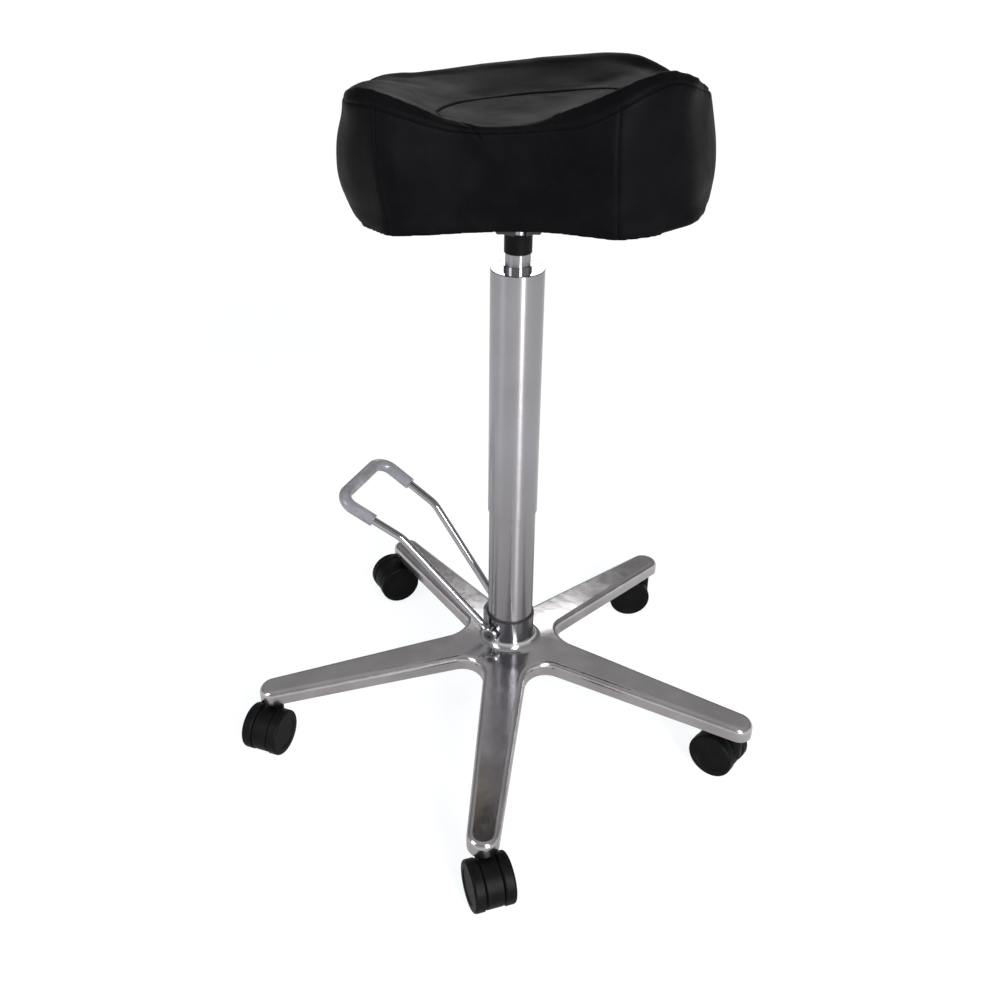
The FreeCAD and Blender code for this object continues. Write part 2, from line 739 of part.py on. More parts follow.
def bearing_balls():
    circle = (float(D.race_inner_r) + float(D.race_outer_r)) / 2
    count = int(float(D.ball_count))
    balls = []
    for index in range(count):
        angle = 2 * math.pi * index / count
        spot = Vector(circle * math.cos(angle), circle * math.sin(angle), float(balls_z()))
        balls.append(Part.makeSphere(float(D.ball_r), spot))
    return solid_from("bearing_balls", Part.makeCompound(balls), COLUMN)


def clip_bottom():
    return D.foot_bottom - D.seat_gap - D.clip_thick


def piston_rod():
    groove_r = D.rod_r - D.clip_groove
    pin_bore = D.pin_r + D.fit
    bore_top = pin_bottom() + D.pin_length + D.pin_stroke
    tip_r = D.rod_r - D.clip_groove * 2
    return turned("piston_rod", [
        (pin_bore, D.rod_bottom),
        (D.rod_r, D.rod_bottom),
        (D.rod_r, clip_bottom()),
        (groove_r, clip_bottom()),
        (groove_r, clip_bottom() + D.clip_thick),
        (D.rod_r, clip_bottom() + D.clip_thick),
        (D.rod_r, rod_flange_bottom()),
        (D.rod_flange_r, rod_flange_bottom()),
        (D.rod_flange_r, rod_flange_bottom() + D.rod_flange),
        (D.rod_r, rod_flange_bottom() + D.rod_flange),
        (D.rod_r, piston_bottom()),
        (tip_r, piston_bottom()),
        (tip_r, piston_bottom() + D.piston_length),
        (0, piston_bottom() + D.piston_length),
        (0, bore_top),
        (pin_bore, bore_top),
    ], COLUMN)


def rod_clip_and_piston():
    ring("rod_clip", D.rod_r - D.clip_groove, D.clip_r, clip_bottom(), clip_bottom() + D.clip_thick, COLUMN)
    ring(
        "piston",
        D.rod_r - D.clip_groove * 2,
        D.cylinder_r - D.cylinder_wall - D.piston_gap,
        piston_bottom(),
        piston_bottom() + D.piston_length,
        COLUMN,
    )


def pin_bottom():
    return D.pivot_z + D.finger_tip_r + D.seat_gap


def release_pin():
    return turned("release_pin", [
        (0, pin_bottom()),
        (D.pin_r, pin_bottom()),
        (D.pin_r, pin_bottom() + D.pin_length),
        (0, pin_bottom() + D.pin_length),
    ], COLUMN)


def gas_cylinder():
    inner = D.cylinder_r - D.cylinder_wall
    turned("gas_cylinder", [
        (inner, D.cylinder_bottom),
        (D.cylinder_r, D.cylinder_bottom),
        (D.cylinder_r, cylinder_top()),
        (0, cylinder_top()),
        (0, cylinder_top() - D.cylinder_wall * 2),
        (inner, cylinder_top() - D.cylinder_wall * 2),
    ], COLUMN)
    ring(
        "cylinder_end_gland",
        D.rod_r + D.fit,
        inner,
        D.cylinder_bottom,
        D.cylinder_bottom + D.gland_length,
        COLUMN,
    )


# Upper tube and column head.

def upper_tube():
    inner = D.upper_tube_r - D.upper_tube_wall
    body = ring("upper_column_tube", inner, D.upper_tube_r, D.upper_tube_bottom, D.upper_tube_top, COLUMN)

    def outer_rims(shape):
        return circle_edges(shape, D.upper_tube_r, D.upper_tube_bottom) + circle_edges(
            shape, D.upper_tube_r, D.upper_tube_top
        )

    dress(body, "PartDesign::Chamfer", outer_rims, "Size", D.tube_chamfer)
    return body


def column_head():
    bore = D.cylinder_r + D.fit
    cap_r = D.upper_tube_r - D.upper_tube_wall - D.top_cap_gap
    ring("column_top_cap", bore, cap_r, D.upper_tube_top - D.top_cap_thick, D.upper_tube_top, COLUMN)
    ring(
        "cap_ring",
        bore,
        bore + D.cap_ring_wall,
        D.upper_tube_top,
        D.upper_tube_top + D.cap_ring_height,
        COLUMN,
    )
    sleeve = ring("hub_sleeve", bore, bore + D.sleeve_wall, sleeve_bottom(), sleeve_top(), COLUMN)

    def lower_rim(shape):
        return circle_edges(shape, bore + D.sleeve_wall, sleeve_bottom())

    dress(sleeve, "PartDesign::Fillet", lower_rim, "Radius", D.sleeve_edge_r)


# Foot pedal.

def rounded_path(points, radii):
    """Straight runs joined by tangent arcs, as one wire."""
    edges = []
    start = points[0]
    for before, corner, after, radius in zip(points[:-2], points[1:-1], points[2:], radii):
        into = (corner - before).normalize()
        out = (after - corner).normalize()
        turn = into.getAngle(out)
        cut = radius * math.tan(turn / 2)
        enter = corner - into * cut
        leave = corner + out * cut
        inward = (out - into).normalize()
        centre = corner + inward * (radius / math.cos(turn / 2))
        middle = centre - inward * radius
        edges.append(Part.LineSegment(start, enter).toShape())
        edges.append(Part.Arc(enter, middle, leave).toShape())
        start = leave
    edges.append(Part.LineSegment(start, points[-1]).toShape())
    return Part.Wire(edges)


def pipe(path, radius):
    start = path.Edges[0].valueAt(path.Edges[0].FirstParameter)
    tangent = path.Edges[0].tangentAt(path.Edges[0].FirstParameter)
    profile = Part.Wire(Part.Circle(start, tangent, float(radius)).toShape())
    return path.makePipeShell([profile], True, False)


def pedal_points():
    boss_middle = float(end_boss_face() + D.end_boss_thick / 2)
    half = [
        Vector(float(D.pivot_x), boss_middle, float(D.pivot_z)),
        Vector(float(D.rod_heel_x), float(D.rod_heel_half), float(D.rod_heel_z)),
        Vector(float(D.rod_knee_x), float(D.rod_knee_half), float(D.rod_knee_z)),
        Vector(float(D.rod_tip_x), float(D.rod_tip_half), float(D.rod_tip_z)),
    ]
    return half + [Vector(p.x, -p.y, p.z) for p in reversed(half)]


def pedal_path(points):
    heel, knee, tip = float(D.heel_bend_r), float(D.knee_bend_r), float(D.tip_bend_r)
    return rounded_path(points, [heel, knee, tip, tip, knee, heel])


def end_boss_face():
    """Inner face of the pedal rod's round ends."""
    return D.pivot_boss_half + D.bush_flange + D.seat_gap


def pedal_rod():
    body = pipe(pedal_path(pedal_points()), D.pedal_rod_r)
    reach = end_boss_face() + 3 * D.end_boss_thick
    body = body.cut(rod_along_y(D.end_boss_r, -reach, reach, D.pivot_x, D.pivot_z))
    body = max(body.Solids, key=lambda solid: solid.Volume)
    return solid_from("pedal_rod", body, PEDAL)


def pedal_grip():
    """Soft sleeve over the crossbar and the start of both legs."""
    points = pedal_points()
    leg = float(D.grip_leg)
    knee, corner, far_corner, far_knee = points[2:6]
    start = corner + (knee - corner).normalize() * leg
    end = far_corner + (far_knee - far_corner).normalize() * leg
    tip = float(D.tip_bend_r)
    path = rounded_path([start, corner, far_corner, end], [tip, tip])
    body = pipe(path, D.grip_r).cut(pipe(path, D.pedal_rod_r))
    return solid_from("pedal_sleeve", body, PEDAL)


def end_bosses():
    """The rod's two round ends on the pivot shaft, in one node."""
    inner = float(end_boss_face())
    outer = inner + float(D.end_boss_thick)
    both = []
    for side in (-1, 1):
        low, high = sorted((side * inner, side * outer))
        boss = rod_along_y(D.end_boss_r, low, high, D.pivot_x, D.pivot_z)
        circles = [edge for edge in boss.Edges if isinstance(edge.Curve, Part.Circle)]
        rims = [edge for edge in circles if abs(abs(edge.Curve.Center.y) - outer) < SAME_PLACE]
        boss = boss.makeChamfer(float(D.end_boss_bevel), rims)
        shaft_low, shaft_high = sorted((side * inner, side * (outer - float(D.screw_head))))
        head_low, head_high = sorted((side * (outer - float(D.screw_head)), side * outer))
        boss = boss.cut(rod_along_y(D.pivot_r, shaft_low, shaft_high, D.pivot_x, D.pivot_z))
        boss = boss.cut(rod_along_y(D.screw_head_r, head_low, head_high, D.pivot_x, D.pivot_z))
        both.append(boss)
    return solid_from("pedal_end_bosses", Part.makeCompound(both), PEDAL)


def shaft_half():
    """Half length of the pivot shaft, up to the screw heads."""
    return end_boss_face() + D.end_boss_thick - D.screw_head


def pivot_shaft():
    """The shaft, with a blind bore in each end for its screw."""
    length = shaft_half() * 2
    return turned("pivot_shaft", [
        (0, D.screw_length),
        (D.screw_r, D.screw_length),
        (D.screw_r, 0),
        (D.pivot_r, 0),
        (D.pivot_r, length),
        (D.screw_r, length),
        (D.screw_r, length - D.screw_length),
        (0, length - D.screw_length),
    ], PIVOT * at(z=-shaft_half()))


def hexagon(across, base, length):
    """A hexagonal bar along Y through the pivot, from one Y to another."""
    radius = across / math.sqrt(3)
    corners = []
    for index in range(HEXAGON_SIDES):
        angle = index * 2 * math.pi / HEXAGON_SIDES
        corners.append(Vector(
            float(D.pivot_x) + radius * math.cos(angle), base, float(D.pivot_z) + radius * math.sin(angle)
        ))
    return Part.Face(Part.makePolygon(corners + corners[:1])).extrude(Vector(0, length, 0))


def pivot_screws():
    """Two flat socket screws that hold the rod's ends on the shaft, in one node."""
    half = float(shaft_half())
    head = float(D.screw_head)
    depth = float(D.socket_depth)
    both = []
    for side in (-1, 1):
        low, high = sorted((side * half, side * (half + head)))
        screw = rod_along_y(D.screw_head_r - D.fit, low, high, D.pivot_x, D.pivot_z)
        low, high = sorted((side * (half - float(D.screw_length)), side * half))
        screw = screw.fuse(rod_along_y(D.screw_r, low, high, D.pivot_x, D.pivot_z))
        screw = screw.cut(hexagon(float(D.socket_key), side * (half + head), -side * depth))
        both.append(screw)
    return solid_from("pivot_screws", Part.makeCompound(both), PEDAL)


def release_finger():
    """Finger on the shaft that lifts the release pin when the pedal goes down."""
    half = float(D.finger_half)
    hub = rod_along_y(D.finger_hub_r, -half, half, D.pivot_x, D.pivot_z)
    tip = rod_along_y(D.finger_tip_r, -half, half, 0, D.pivot_z)
    bar = Part.makeBox(
        float(D.pivot_x),
        2 * half,
        2 * float(D.finger_tip_r),
        Vector(0, -half, float(D.pivot_z) - float(D.finger_tip_r)),
    )
    body = hub.fuse([tip, bar]).cut(rod_along_y(D.pivot_r, -half, half, D.pivot_x, D.pivot_z))
    return solid_from("release_finger", body.removeSplitter(), PEDAL)


def return_spring():
    """Torsion spring beside the finger, its turns as biarcs, one leg under the foot and one on the finger."""
    coil = float(D.spring_coil_r)
    pitch = float(D.spring_pitch)
    wire = float(D.spring_wire_r)
    first = float(D.finger_half) + 2 * wire
    quarter_count = 4 * int(float(D.spring_turns))

    def on_coil(quarters):
        angle = quarters * math.pi / 2
        return Vector(
            float(D.pivot_x) - coil * math.cos(angle),
            first + pitch * quarters / 4,
            float(D.pivot_z) + coil * math.sin(angle),
        )

    edges = []
    for quarter in range(quarter_count):
        edges.append(Part.Arc(on_coil(quarter), on_coil(quarter + 0.5), on_coil(quarter + 1)).toShape())
    start = on_coil(0)
    end = on_coil(quarter_count)
    leg = float(D.spring_leg)
    lead_in = Part.LineSegment(start - Vector(0, 0, leg), start).toShape()
    lead_out = Part.LineSegment(end, end + Vector(0, 0, leg)).toShape()
    path = Part.Wire([lead_in] + edges + [lead_out])
    print("return spring: least gap between turns %.2f mm" % (pitch - 2 * wire))
    return solid_from("pedal_return_spring", pipe(path, wire), PEDAL)


# Seat.

def hub_r():
    return D.cylinder_r + D.fit + D.hub_wall


def hub_top():
    """The upright socket ends where its rim meets the leaning plate."""
    tilt = math.tan(math.radians(float(D.seat_lean)))
    return plate_top() - D.plate_thick - D.fit - hub_r() * tilt


def seat_hub():
    """The plate's socket on the gas cylinder, with a slot in its front."""
    bore = D.cylinder_r + D.fit
    body = cylinder(hub_r(), sleeve_top(), hub_top()).cut(cylinder(bore, sleeve_top(), hub_top()))
    half = float(D.hub_slot_width) / 2
    slot = Part.makeBox(
        2 * half,
        float(hub_r()),
        float(D.hub_slot_height),
        Vector(float(D.hub_slot_shift) - half, -float(hub_r()), float(sleeve_top())),
    )
    return solid_from("seat_hub", body.cut(slot), COLUMN)


def plate_top():
    return board_bottom() - D.seat_gap


def rounded_slab(width, length, corner, bottom, thickness):
    half_x, half_y = width / 2.0, length / 2.0
    slab = Part.makeBox(width, length, thickness, Vector(-half_x, -half_y, bottom))
    return slab.makeFillet(corner, [e for e in slab.Edges if e.BoundBox.ZLength > thickness / 2])


def bolt_spots():
    return [
        (float(D.bolt_pitch_x) * i / 2.0, float(D.bolt_pitch_y) * j / 2.0) for i in (-1, 1) for j in (-1, 1)
    ]


def gusset_bottom():
    """Lower edge of the gussets, seat raised."""
    return sleeve_top() + D.gusset_gap


def gusset(side):
    """One upright web under the plate, wider at its top."""
    low = float(gusset_bottom())
    top = float(plate_top()) - float(D.plate_thick)
    near = float(D.gusset_half)
    far = near + float(D.gusset_spread)
    face_y = side * float(D.gusset_y)
    corners = [Vector(x, face_y, z) for x, z in ((-near, low), (near, low), (far, top), (-far, top))]
    web = Part.Face(Part.makePolygon(corners + corners[:1]))
    return web.extrude(Vector(0, -side * float(D.plate_thick), 0))


def seat_plate():
    """Plate under the board, with two webs beside the socket."""
    thick = float(D.plate_thick)
    top = float(plate_top())
    flange = rounded_slab(
        float(D.plate_width), float(D.plate_length), float(D.plate_corner_r), top - thick, thick
    )
    body = flange.fuse([gusset(-1), gusset(1)])
    socket = cylinder(hub_r() + D.fit, gusset_bottom() - thick, hub_top())
    socket.Placement = SEAT.inverse() * COLUMN
    hole_r = D.bolt_r + D.fit
    holes = [cylinder(hole_r, top - 2 * thick, top + thick, x, y) for x, y in bolt_spots()]
    body = body.cut([socket] + holes)
    return solid_from("seat_plate", body, SEAT)


def seat_bolts():
    """Four bolts from below through the plate into the board's nuts, in one node."""
    face = float(plate_top()) - float(D.plate_thick)
    top = float(board_bottom()) + float(D.board_thick) - float(D.seat_gap)
    bolts = []
    for x, y in bolt_spots():
        bolt = cylinder(D.bolt_head_r, face - float(D.bolt_head), face, x, y)
        bolts.append(bolt.fuse(cylinder(D.bolt_r, face, top, x, y)))
    return solid_from("seat_bolts", Part.makeCompound(bolts), SEAT)


def board_nuts():
    """Four flanged nuts let into the board from above, in one node."""
    low = float(board_bottom()) + float(D.seat_gap)
    top = float(board_bottom()) + float(D.board_thick)
    nuts = []
    for x, y in bolt_spots():
        nut = cylinder(D.nut_r, low, top, x, y).fuse(cylinder(D.nut_flange_r, top - D.nut_flange, top, x, y))
        nuts.append(nut.cut(cylinder(D.bolt_r, low, top, x, y)))
    return solid_from("board_nuts", Part.makeCompound(nuts), SEAT)


# The pad's cross-sections, from left to right. Each has its place as a share of the half width, how far
# its front and back walls stand behind those of the middle, the heights over the pad's underside of its
# bottom edge, front seam, front crest, sitting surface and back crest, and how far its bottom edge is
# drawn in under the walls.
PAD_STATIONS = [
    # share, front, back, bottom, front seam, front crest, seat, back crest, tuck
    (-1.000, 141.0, 74.3, 23.6,  92.3, 103.5,  99.0,  95.4,  2.7),
    (-0.934,  75.9, 51.0, 11.5,  84.8,  96.6, 112.0, 104.4,  1.9),
    (-0.839,  27.8, 31.4,  5.1, 104.3, 118.1, 117.0, 106.5, 24.1),
    (-0.719,   0.5, 18.2,  0.0, 123.8, 137.7, 114.0, 107.2, 21.9),
    (-0.583, -14.9,  8.9,  0.0, 119.7, 132.9, 106.0, 108.9, 10.7),
    (-0.432, -12.7,  4.8,  0.0, 109.0, 121.5,  97.0, 110.3,  6.5),
    (-0.230,  -5.2,  0.3,  0.0,  95.1, 103.0,  90.0, 112.7,  7.8),
    (-0.005,   0.0,  0.0,  0.0,  91.7,  98.1,  89.0, 115.6,  9.8),
    ( 0.223,  -2.2,  0.1,  0.0,  93.7, 107.5,  90.0, 118.2, 10.4),
    ( 0.426, -14.1,  3.3,  0.0, 103.9, 120.9,  97.0, 120.8, 10.6),
    ( 0.579, -19.4,  9.4,  0.0, 118.9, 134.4, 106.0, 119.2,  8.4),
    ( 0.716,  -8.4, 20.9,  0.0, 130.1, 142.4, 114.0, 109.6,  4.1),
    ( 0.837,  13.1, 36.1,  2.4, 136.3, 141.6, 117.0,  94.5,  4.6),
    ( 0.934,  37.4, 53.7,  2.7, 127.6, 130.9, 112.0,  97.6,  1.7),
    ( 1.000, 111.9, 72.1, 10.4, 104.5, 108.1, 100.0, 101.6,  1.5),
]
# The stations between which the bottom edge lies level on the board.
BOARD_STATIONS = slice(3, 12)


def station_walls(station):
    """Sideways place of a section, and where its front and back walls stand."""
    share, front, back = station[:3]
    out = share * float(D.pad_half_width) + float(D.pad_shift)
    return out, front - float(D.pad_front_dip), float(D.pad_back_reach) - back


def pad_section(station):
    """One closed cross-section of the pad, as lines and arcs."""
    x, front, back = station_walls(station)
    heights = [float(board_bottom()) + height for height in station[3:8]]
    bottom, front_seam, front_crest, seat, back_crest = heights
    back_seam = back_crest - float(D.pad_seam_fall)
    tuck = station[8]
    inset = float(D.pad_seam_inset)
    rim = min(float(D.pad_rim_width), (back - front) / 4)
    fall = float(D.pad_rim_fall) * rim / float(D.pad_rim_width)
    corners = [
        Vector(x, front + tuck, bottom),
        Vector(x, back - tuck, bottom),
        Vector(x, back - inset, back_seam),
        Vector(x, back - rim, back_crest - fall),
        Vector(x, front + rim, front_crest - fall),
        Vector(x, front + inset, front_seam),
    ]
    mids = [
        None,
        Vector(x, back, (bottom + back_seam) / 2),
        Vector(x, back - rim / 2, back_crest),
        Vector(x, (front + back) / 2, seat),
        Vector(x, front + rim / 2, front_crest),
        Vector(x, front, (bottom + front_seam) / 2),
    ]
    edges = []
    for start, mid, end in zip(corners, mids, corners[1:] + corners[:1]):
        curve = Part.LineSegment(start, end) if mid is None else Part.Arc(start, mid, end)
        edges.append(curve.toShape())
    return Part.Wire(edges)


def board_face():
    """The board's plan: the pad's bottom edge, drawn in, as a polygon."""
    fronts, backs = [], []
    for station in PAD_STATIONS[BOARD_STATIONS]:
        x, front, back = station_walls(station)
        inset = float(D.board_inset) + station[8]
        narrow = x - station[0] * inset
        fronts.append(Vector(narrow, front + inset, float(board_bottom())))
        backs.append(Vector(narrow, back - inset, float(board_bottom())))
    corners = fronts + list(reversed(backs))
    return Part.Face(Part.makePolygon(corners + corners[:1]))


def board_slab():
    return board_face().extrude(Vector(0, 0, float(D.board_thick)))


def seat_board():
    slab = board_slab()
    top = float(board_bottom()) + float(D.board_thick)
    low = float(board_bottom())
    for x, y in bolt_spots():
        nut = cylinder(D.nut_r, low + float(D.seat_gap), top, x, y)
        flange = cylinder(D.nut_flange_r, top - D.nut_flange, top, x, y)
        slab = slab.cut([nut, flange, cylinder(D.bolt_r + D.fit, low, top, x, y)])
    return solid_from("seat_board", slab, SEAT)


def seat_cushion():
    sections = [pad_section(station) for station in PAD_STATIONS]
    body = Part.makeLoft(sections, True, False).cut(board_slab())
    return solid_from("seat_cushion", max(body.Solids, key=lambda solid: solid.Volume), SEAT)


# Castors.

def wheel(label, place):
    """One castor wheel, its inner face at height 0 and its outer face up."""
    blind = D.axle_bite + D.seat_gap
    body = turned(label, [
        (D.axle_r + D.fit, 0),
        (D.wheel_r - D.wheel_inner_edge, 0),
        (D.wheel_r, D.wheel_inner_edge),
        (D.wheel_r, D.wheel_width),
        (D.wheel_dish_r, D.wheel_width),
        (D.wheel_dish_r - D.wheel_dish, D.wheel_width - D.wheel_dish),
        (0, D.wheel_width - D.wheel_dish),
        (0, blind),
        (D.axle_r + D.fit, blind),
    ], place)

    def outer_rim(shape):
        return circle_edges(shape, D.wheel_r, D.wheel_width)

    dress(body, "PartDesign::Fillet", outer_rim, "Radius", D.wheel_edge_r)
    return body


def hood_top():
    return arm_underside() - float(D.socket_flange) - float(D.seat_gap)


def castor_hood(label, place):
    """The hood between the wheels: a thick disc, open towards the floor, with the stem's boss."""
    half = float(D.hood_width) / 2
    trail = float(D.castor_trail)
    axle_z = float(D.wheel_r)
    disc = rod_along_y(D.hood_r, -half, half, trail, axle_z)
    floor = Part.makeBox(4 * trail, 3 * half, float(D.hood_floor), Vector(-trail, -1.5 * half, 0))
    disc = disc.cut(floor)
    rims = [e for e in disc.Edges if isinstance(e.Curve, Part.Circle)]
    disc = disc.makeChamfer(float(D.hood_edge), rims)
    boss = cylinder(D.hood_boss_r, axle_z, hood_top())
    body = disc.fuse(boss)
    body = body.cut([
        cylinder(D.stem_r, D.stem_bottom, hood_top()),
        rod_along_y(D.axle_r, -half, half, trail, axle_z),
    ])
    return solid_from(label, body.removeSplitter(), place)


def castor(name):
    place = castor_frame(name)
    castor_hood("castor_hood_" + name, place)
    turned("castor_stem_" + name, [
        (0, D.stem_bottom), (D.stem_r, D.stem_bottom), (D.stem_r, D.stem_top), (0, D.stem_top)
    ], place)
    half = D.hood_width / 2 + D.wheel_gap + D.axle_bite
    hub = place * at(x=D.castor_trail, z=D.wheel_r)
    axle_place = hub * LYING * at(z=-half)
    turned("castor_axle_" + name, [(0, 0), (D.axle_r, 0), (D.axle_r, half * 2), (0, half * 2)], axle_place)
    inner = D.hood_width / 2 + D.wheel_gap
    wheel("castor_wheel_a_" + name, hub * LYING * at(z=inner))
    wheel("castor_wheel_b_" + name, hub * LYING.inverse() * at(z=inner))


def build_all():
    base_casting()
    castor_sockets()
    bottom_cap()
    hub_collar()
    collar_seal()
    lower_tube()
    pivot_bushes()
    column_guide()
    column_foot()
    bearing_balls()
    piston_rod()
    rod_clip_and_piston()
    release_pin()
    gas_cylinder()
    upper_tube()
    column_head()
    pedal_rod()
    pedal_grip()
    end_bosses()
    pivot_shaft()
    pivot_screws()
    release_finger()
    return_spring()
    seat_hub()
    seat_plate()
    seat_bolts()
    board_nuts()
    seat_board()
    seat_cushion()
    for name in CASTOR_TRAILS:
        castor(name)


def check_all():
    doc.recompute()
    for item in doc.Objects:
        if {"Invalid", "Error"} & set(item.State):
            raise ValueError("failed object: " + item.Name)
    for item in nodes:
        if item.Shape.isNull() or not item.Shape.isValid() or not item.Shape.Solids:
            raise ValueError("no valid solid: " + item.Label)


def write_all():
    os.makedirs("parts", exist_ok=True)
    for item in nodes:
        item.Shape.exportStep(os.path.join("parts", item.Label + ".step"))
    box = FreeCAD.BoundBox()
    for item in nodes:
        box.add(item.Shape.BoundBox)
    print("%d nodes, box x %.1f to %.1f, y %.1f to %.1f, z %.1f to %.1f" % (
        len(nodes), box.XMin, box.XMax, box.YMin, box.YMax, box.ZMin, box.ZMax
    ))


build_all()
check_all()
write_all()
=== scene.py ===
"""Looks of the lab stool: the leather pad with its seams and stitching, the finishes, light and camera."""
import json
import math

import bmesh
import bpy
import numpy as np
from mathutils import Matrix, Vector
from mathutils.bvhtree import BVHTree
from mathutils.kdtree import KDTree


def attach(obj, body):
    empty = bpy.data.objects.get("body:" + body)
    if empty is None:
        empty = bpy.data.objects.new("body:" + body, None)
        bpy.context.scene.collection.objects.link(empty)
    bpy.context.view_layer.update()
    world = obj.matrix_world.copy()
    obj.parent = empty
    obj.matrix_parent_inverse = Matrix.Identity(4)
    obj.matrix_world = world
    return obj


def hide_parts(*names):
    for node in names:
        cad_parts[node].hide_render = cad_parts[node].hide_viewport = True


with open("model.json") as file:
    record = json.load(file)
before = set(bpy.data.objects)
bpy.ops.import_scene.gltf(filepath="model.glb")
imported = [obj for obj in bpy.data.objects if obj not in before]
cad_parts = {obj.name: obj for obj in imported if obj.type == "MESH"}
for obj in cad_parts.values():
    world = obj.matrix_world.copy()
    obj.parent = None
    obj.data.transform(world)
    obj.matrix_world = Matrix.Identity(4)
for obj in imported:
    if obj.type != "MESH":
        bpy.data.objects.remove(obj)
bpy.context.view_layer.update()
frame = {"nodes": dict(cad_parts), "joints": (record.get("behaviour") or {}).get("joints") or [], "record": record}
NODES = frame["nodes"]
MM = 0.001


# Objects and meshes.

def linked(name, data):
    """A new object in the scene."""
    item = bpy.data.objects.new(name, data)
    bpy.context.scene.collection.objects.link(item)
    return item


def mesh_of(bm, name):
    """The finished mesh, its faces turned outwards."""
    bmesh.ops.recalc_face_normals(bm, faces=bm.faces)
    mesh = bpy.data.meshes.new(name)
    bm.to_mesh(mesh)
    bm.free()
    return mesh


def add_tube(bm, rings):
    """A closed tube through the rings of vertices, with a face at each end."""
    count = len(rings[0])
    for one, two in zip(rings, rings[1:]):
        for i in range(count):
            j = (i + 1) % count
            bm.faces.new((one[i], two[i], two[j], one[j]))
    bm.faces.new(rings[0])
    bm.faces.new(list(reversed(rings[-1])))


def shade_smooth(mesh):
    mesh.polygons.foreach_set("use_smooth", [True] * len(mesh.polygons))


def apply_modifiers(item):
    """The piece's mesh with its modifiers made permanent."""
    shown = item.evaluated_get(bpy.context.evaluated_depsgraph_get())
    mesh = bpy.data.meshes.new_from_object(shown)
    item.modifiers.clear()
    item.data = mesh


def read_triples(items, key):
    """One vector of three numbers for each item, such as a vertex's place."""
    made = np.zeros(len(items) * 3)
    items.foreach_get(key, made)
    return made.reshape(-1, 3)


def coordinates(mesh):
    return read_triples(mesh.vertices, "co")


def normals(mesh):
    return read_triples(mesh.vertices, "normal")


def set_coordinates(mesh, places):
    mesh.vertices.foreach_set("co", np.asarray(places, float).ravel())
    mesh.update()


def smooth_step(value, low, high):
    """0 below low, 1 above high, and a soft rise between."""
    t = np.clip((value - low) / (high - low), 0.0, 1.0)
    return t * t * (3 - 2 * t)


def evened(mesh, values, times):
    """Values at the vertices, each drawn towards the mean of its neighbours."""
    ends = np.zeros(len(mesh.edges) * 2, int)
    mesh.edges.foreach_get("vertices", ends)
    one, two = ends.reshape(-1, 2).T
    count = np.bincount(one, minlength=len(values)) + np.bincount(two, minlength=len(values))
    for _ in range(times):
        total = np.zeros_like(values)
        np.add.at(total, one, values[two])
        np.add.at(total, two, values[one])
        values = 0.5 * values + 0.5 * total / np.maximum(count, 1)[:, None]
    return values


# Camera.

# Where the photograph was taken from, in metres, and the directions of its right, its top and the view.
EYE = (0.0166, -1.12323, 1.01983)
PICTURE_RIGHT = (0.9996947, 0.0210219, 0.0129843)
PICTURE_UP = (-0.0219394, 0.5134915, 0.8578142)
LOOKING = (-0.0113656, 0.8578371, -0.5137959)
SENSOR_WIDTH = 36.0
FOCAL_LENGTH = 39.964
FARTHEST = 100.0


def make_camera():
    data = bpy.data.cameras.new("camera")
    data.sensor_width = SENSOR_WIDTH
    data.lens = FOCAL_LENGTH
    data.clip_end = FARTHEST
    camera = linked("camera", data)
    place = Matrix((Vector(PICTURE_RIGHT), Vector(PICTURE_UP), -Vector(LOOKING))).transposed().to_4x4()
    place.translation = Vector(EYE)
    camera.matrix_world = place
    bpy.context.scene.camera = camera


# Node materials. Sizes and depths are in metres.

# The range in which most of a noise's values lie, and the narrower one for two shades.
MOST = (0.3, 0.7)
SHADES = (0.35, 0.65)


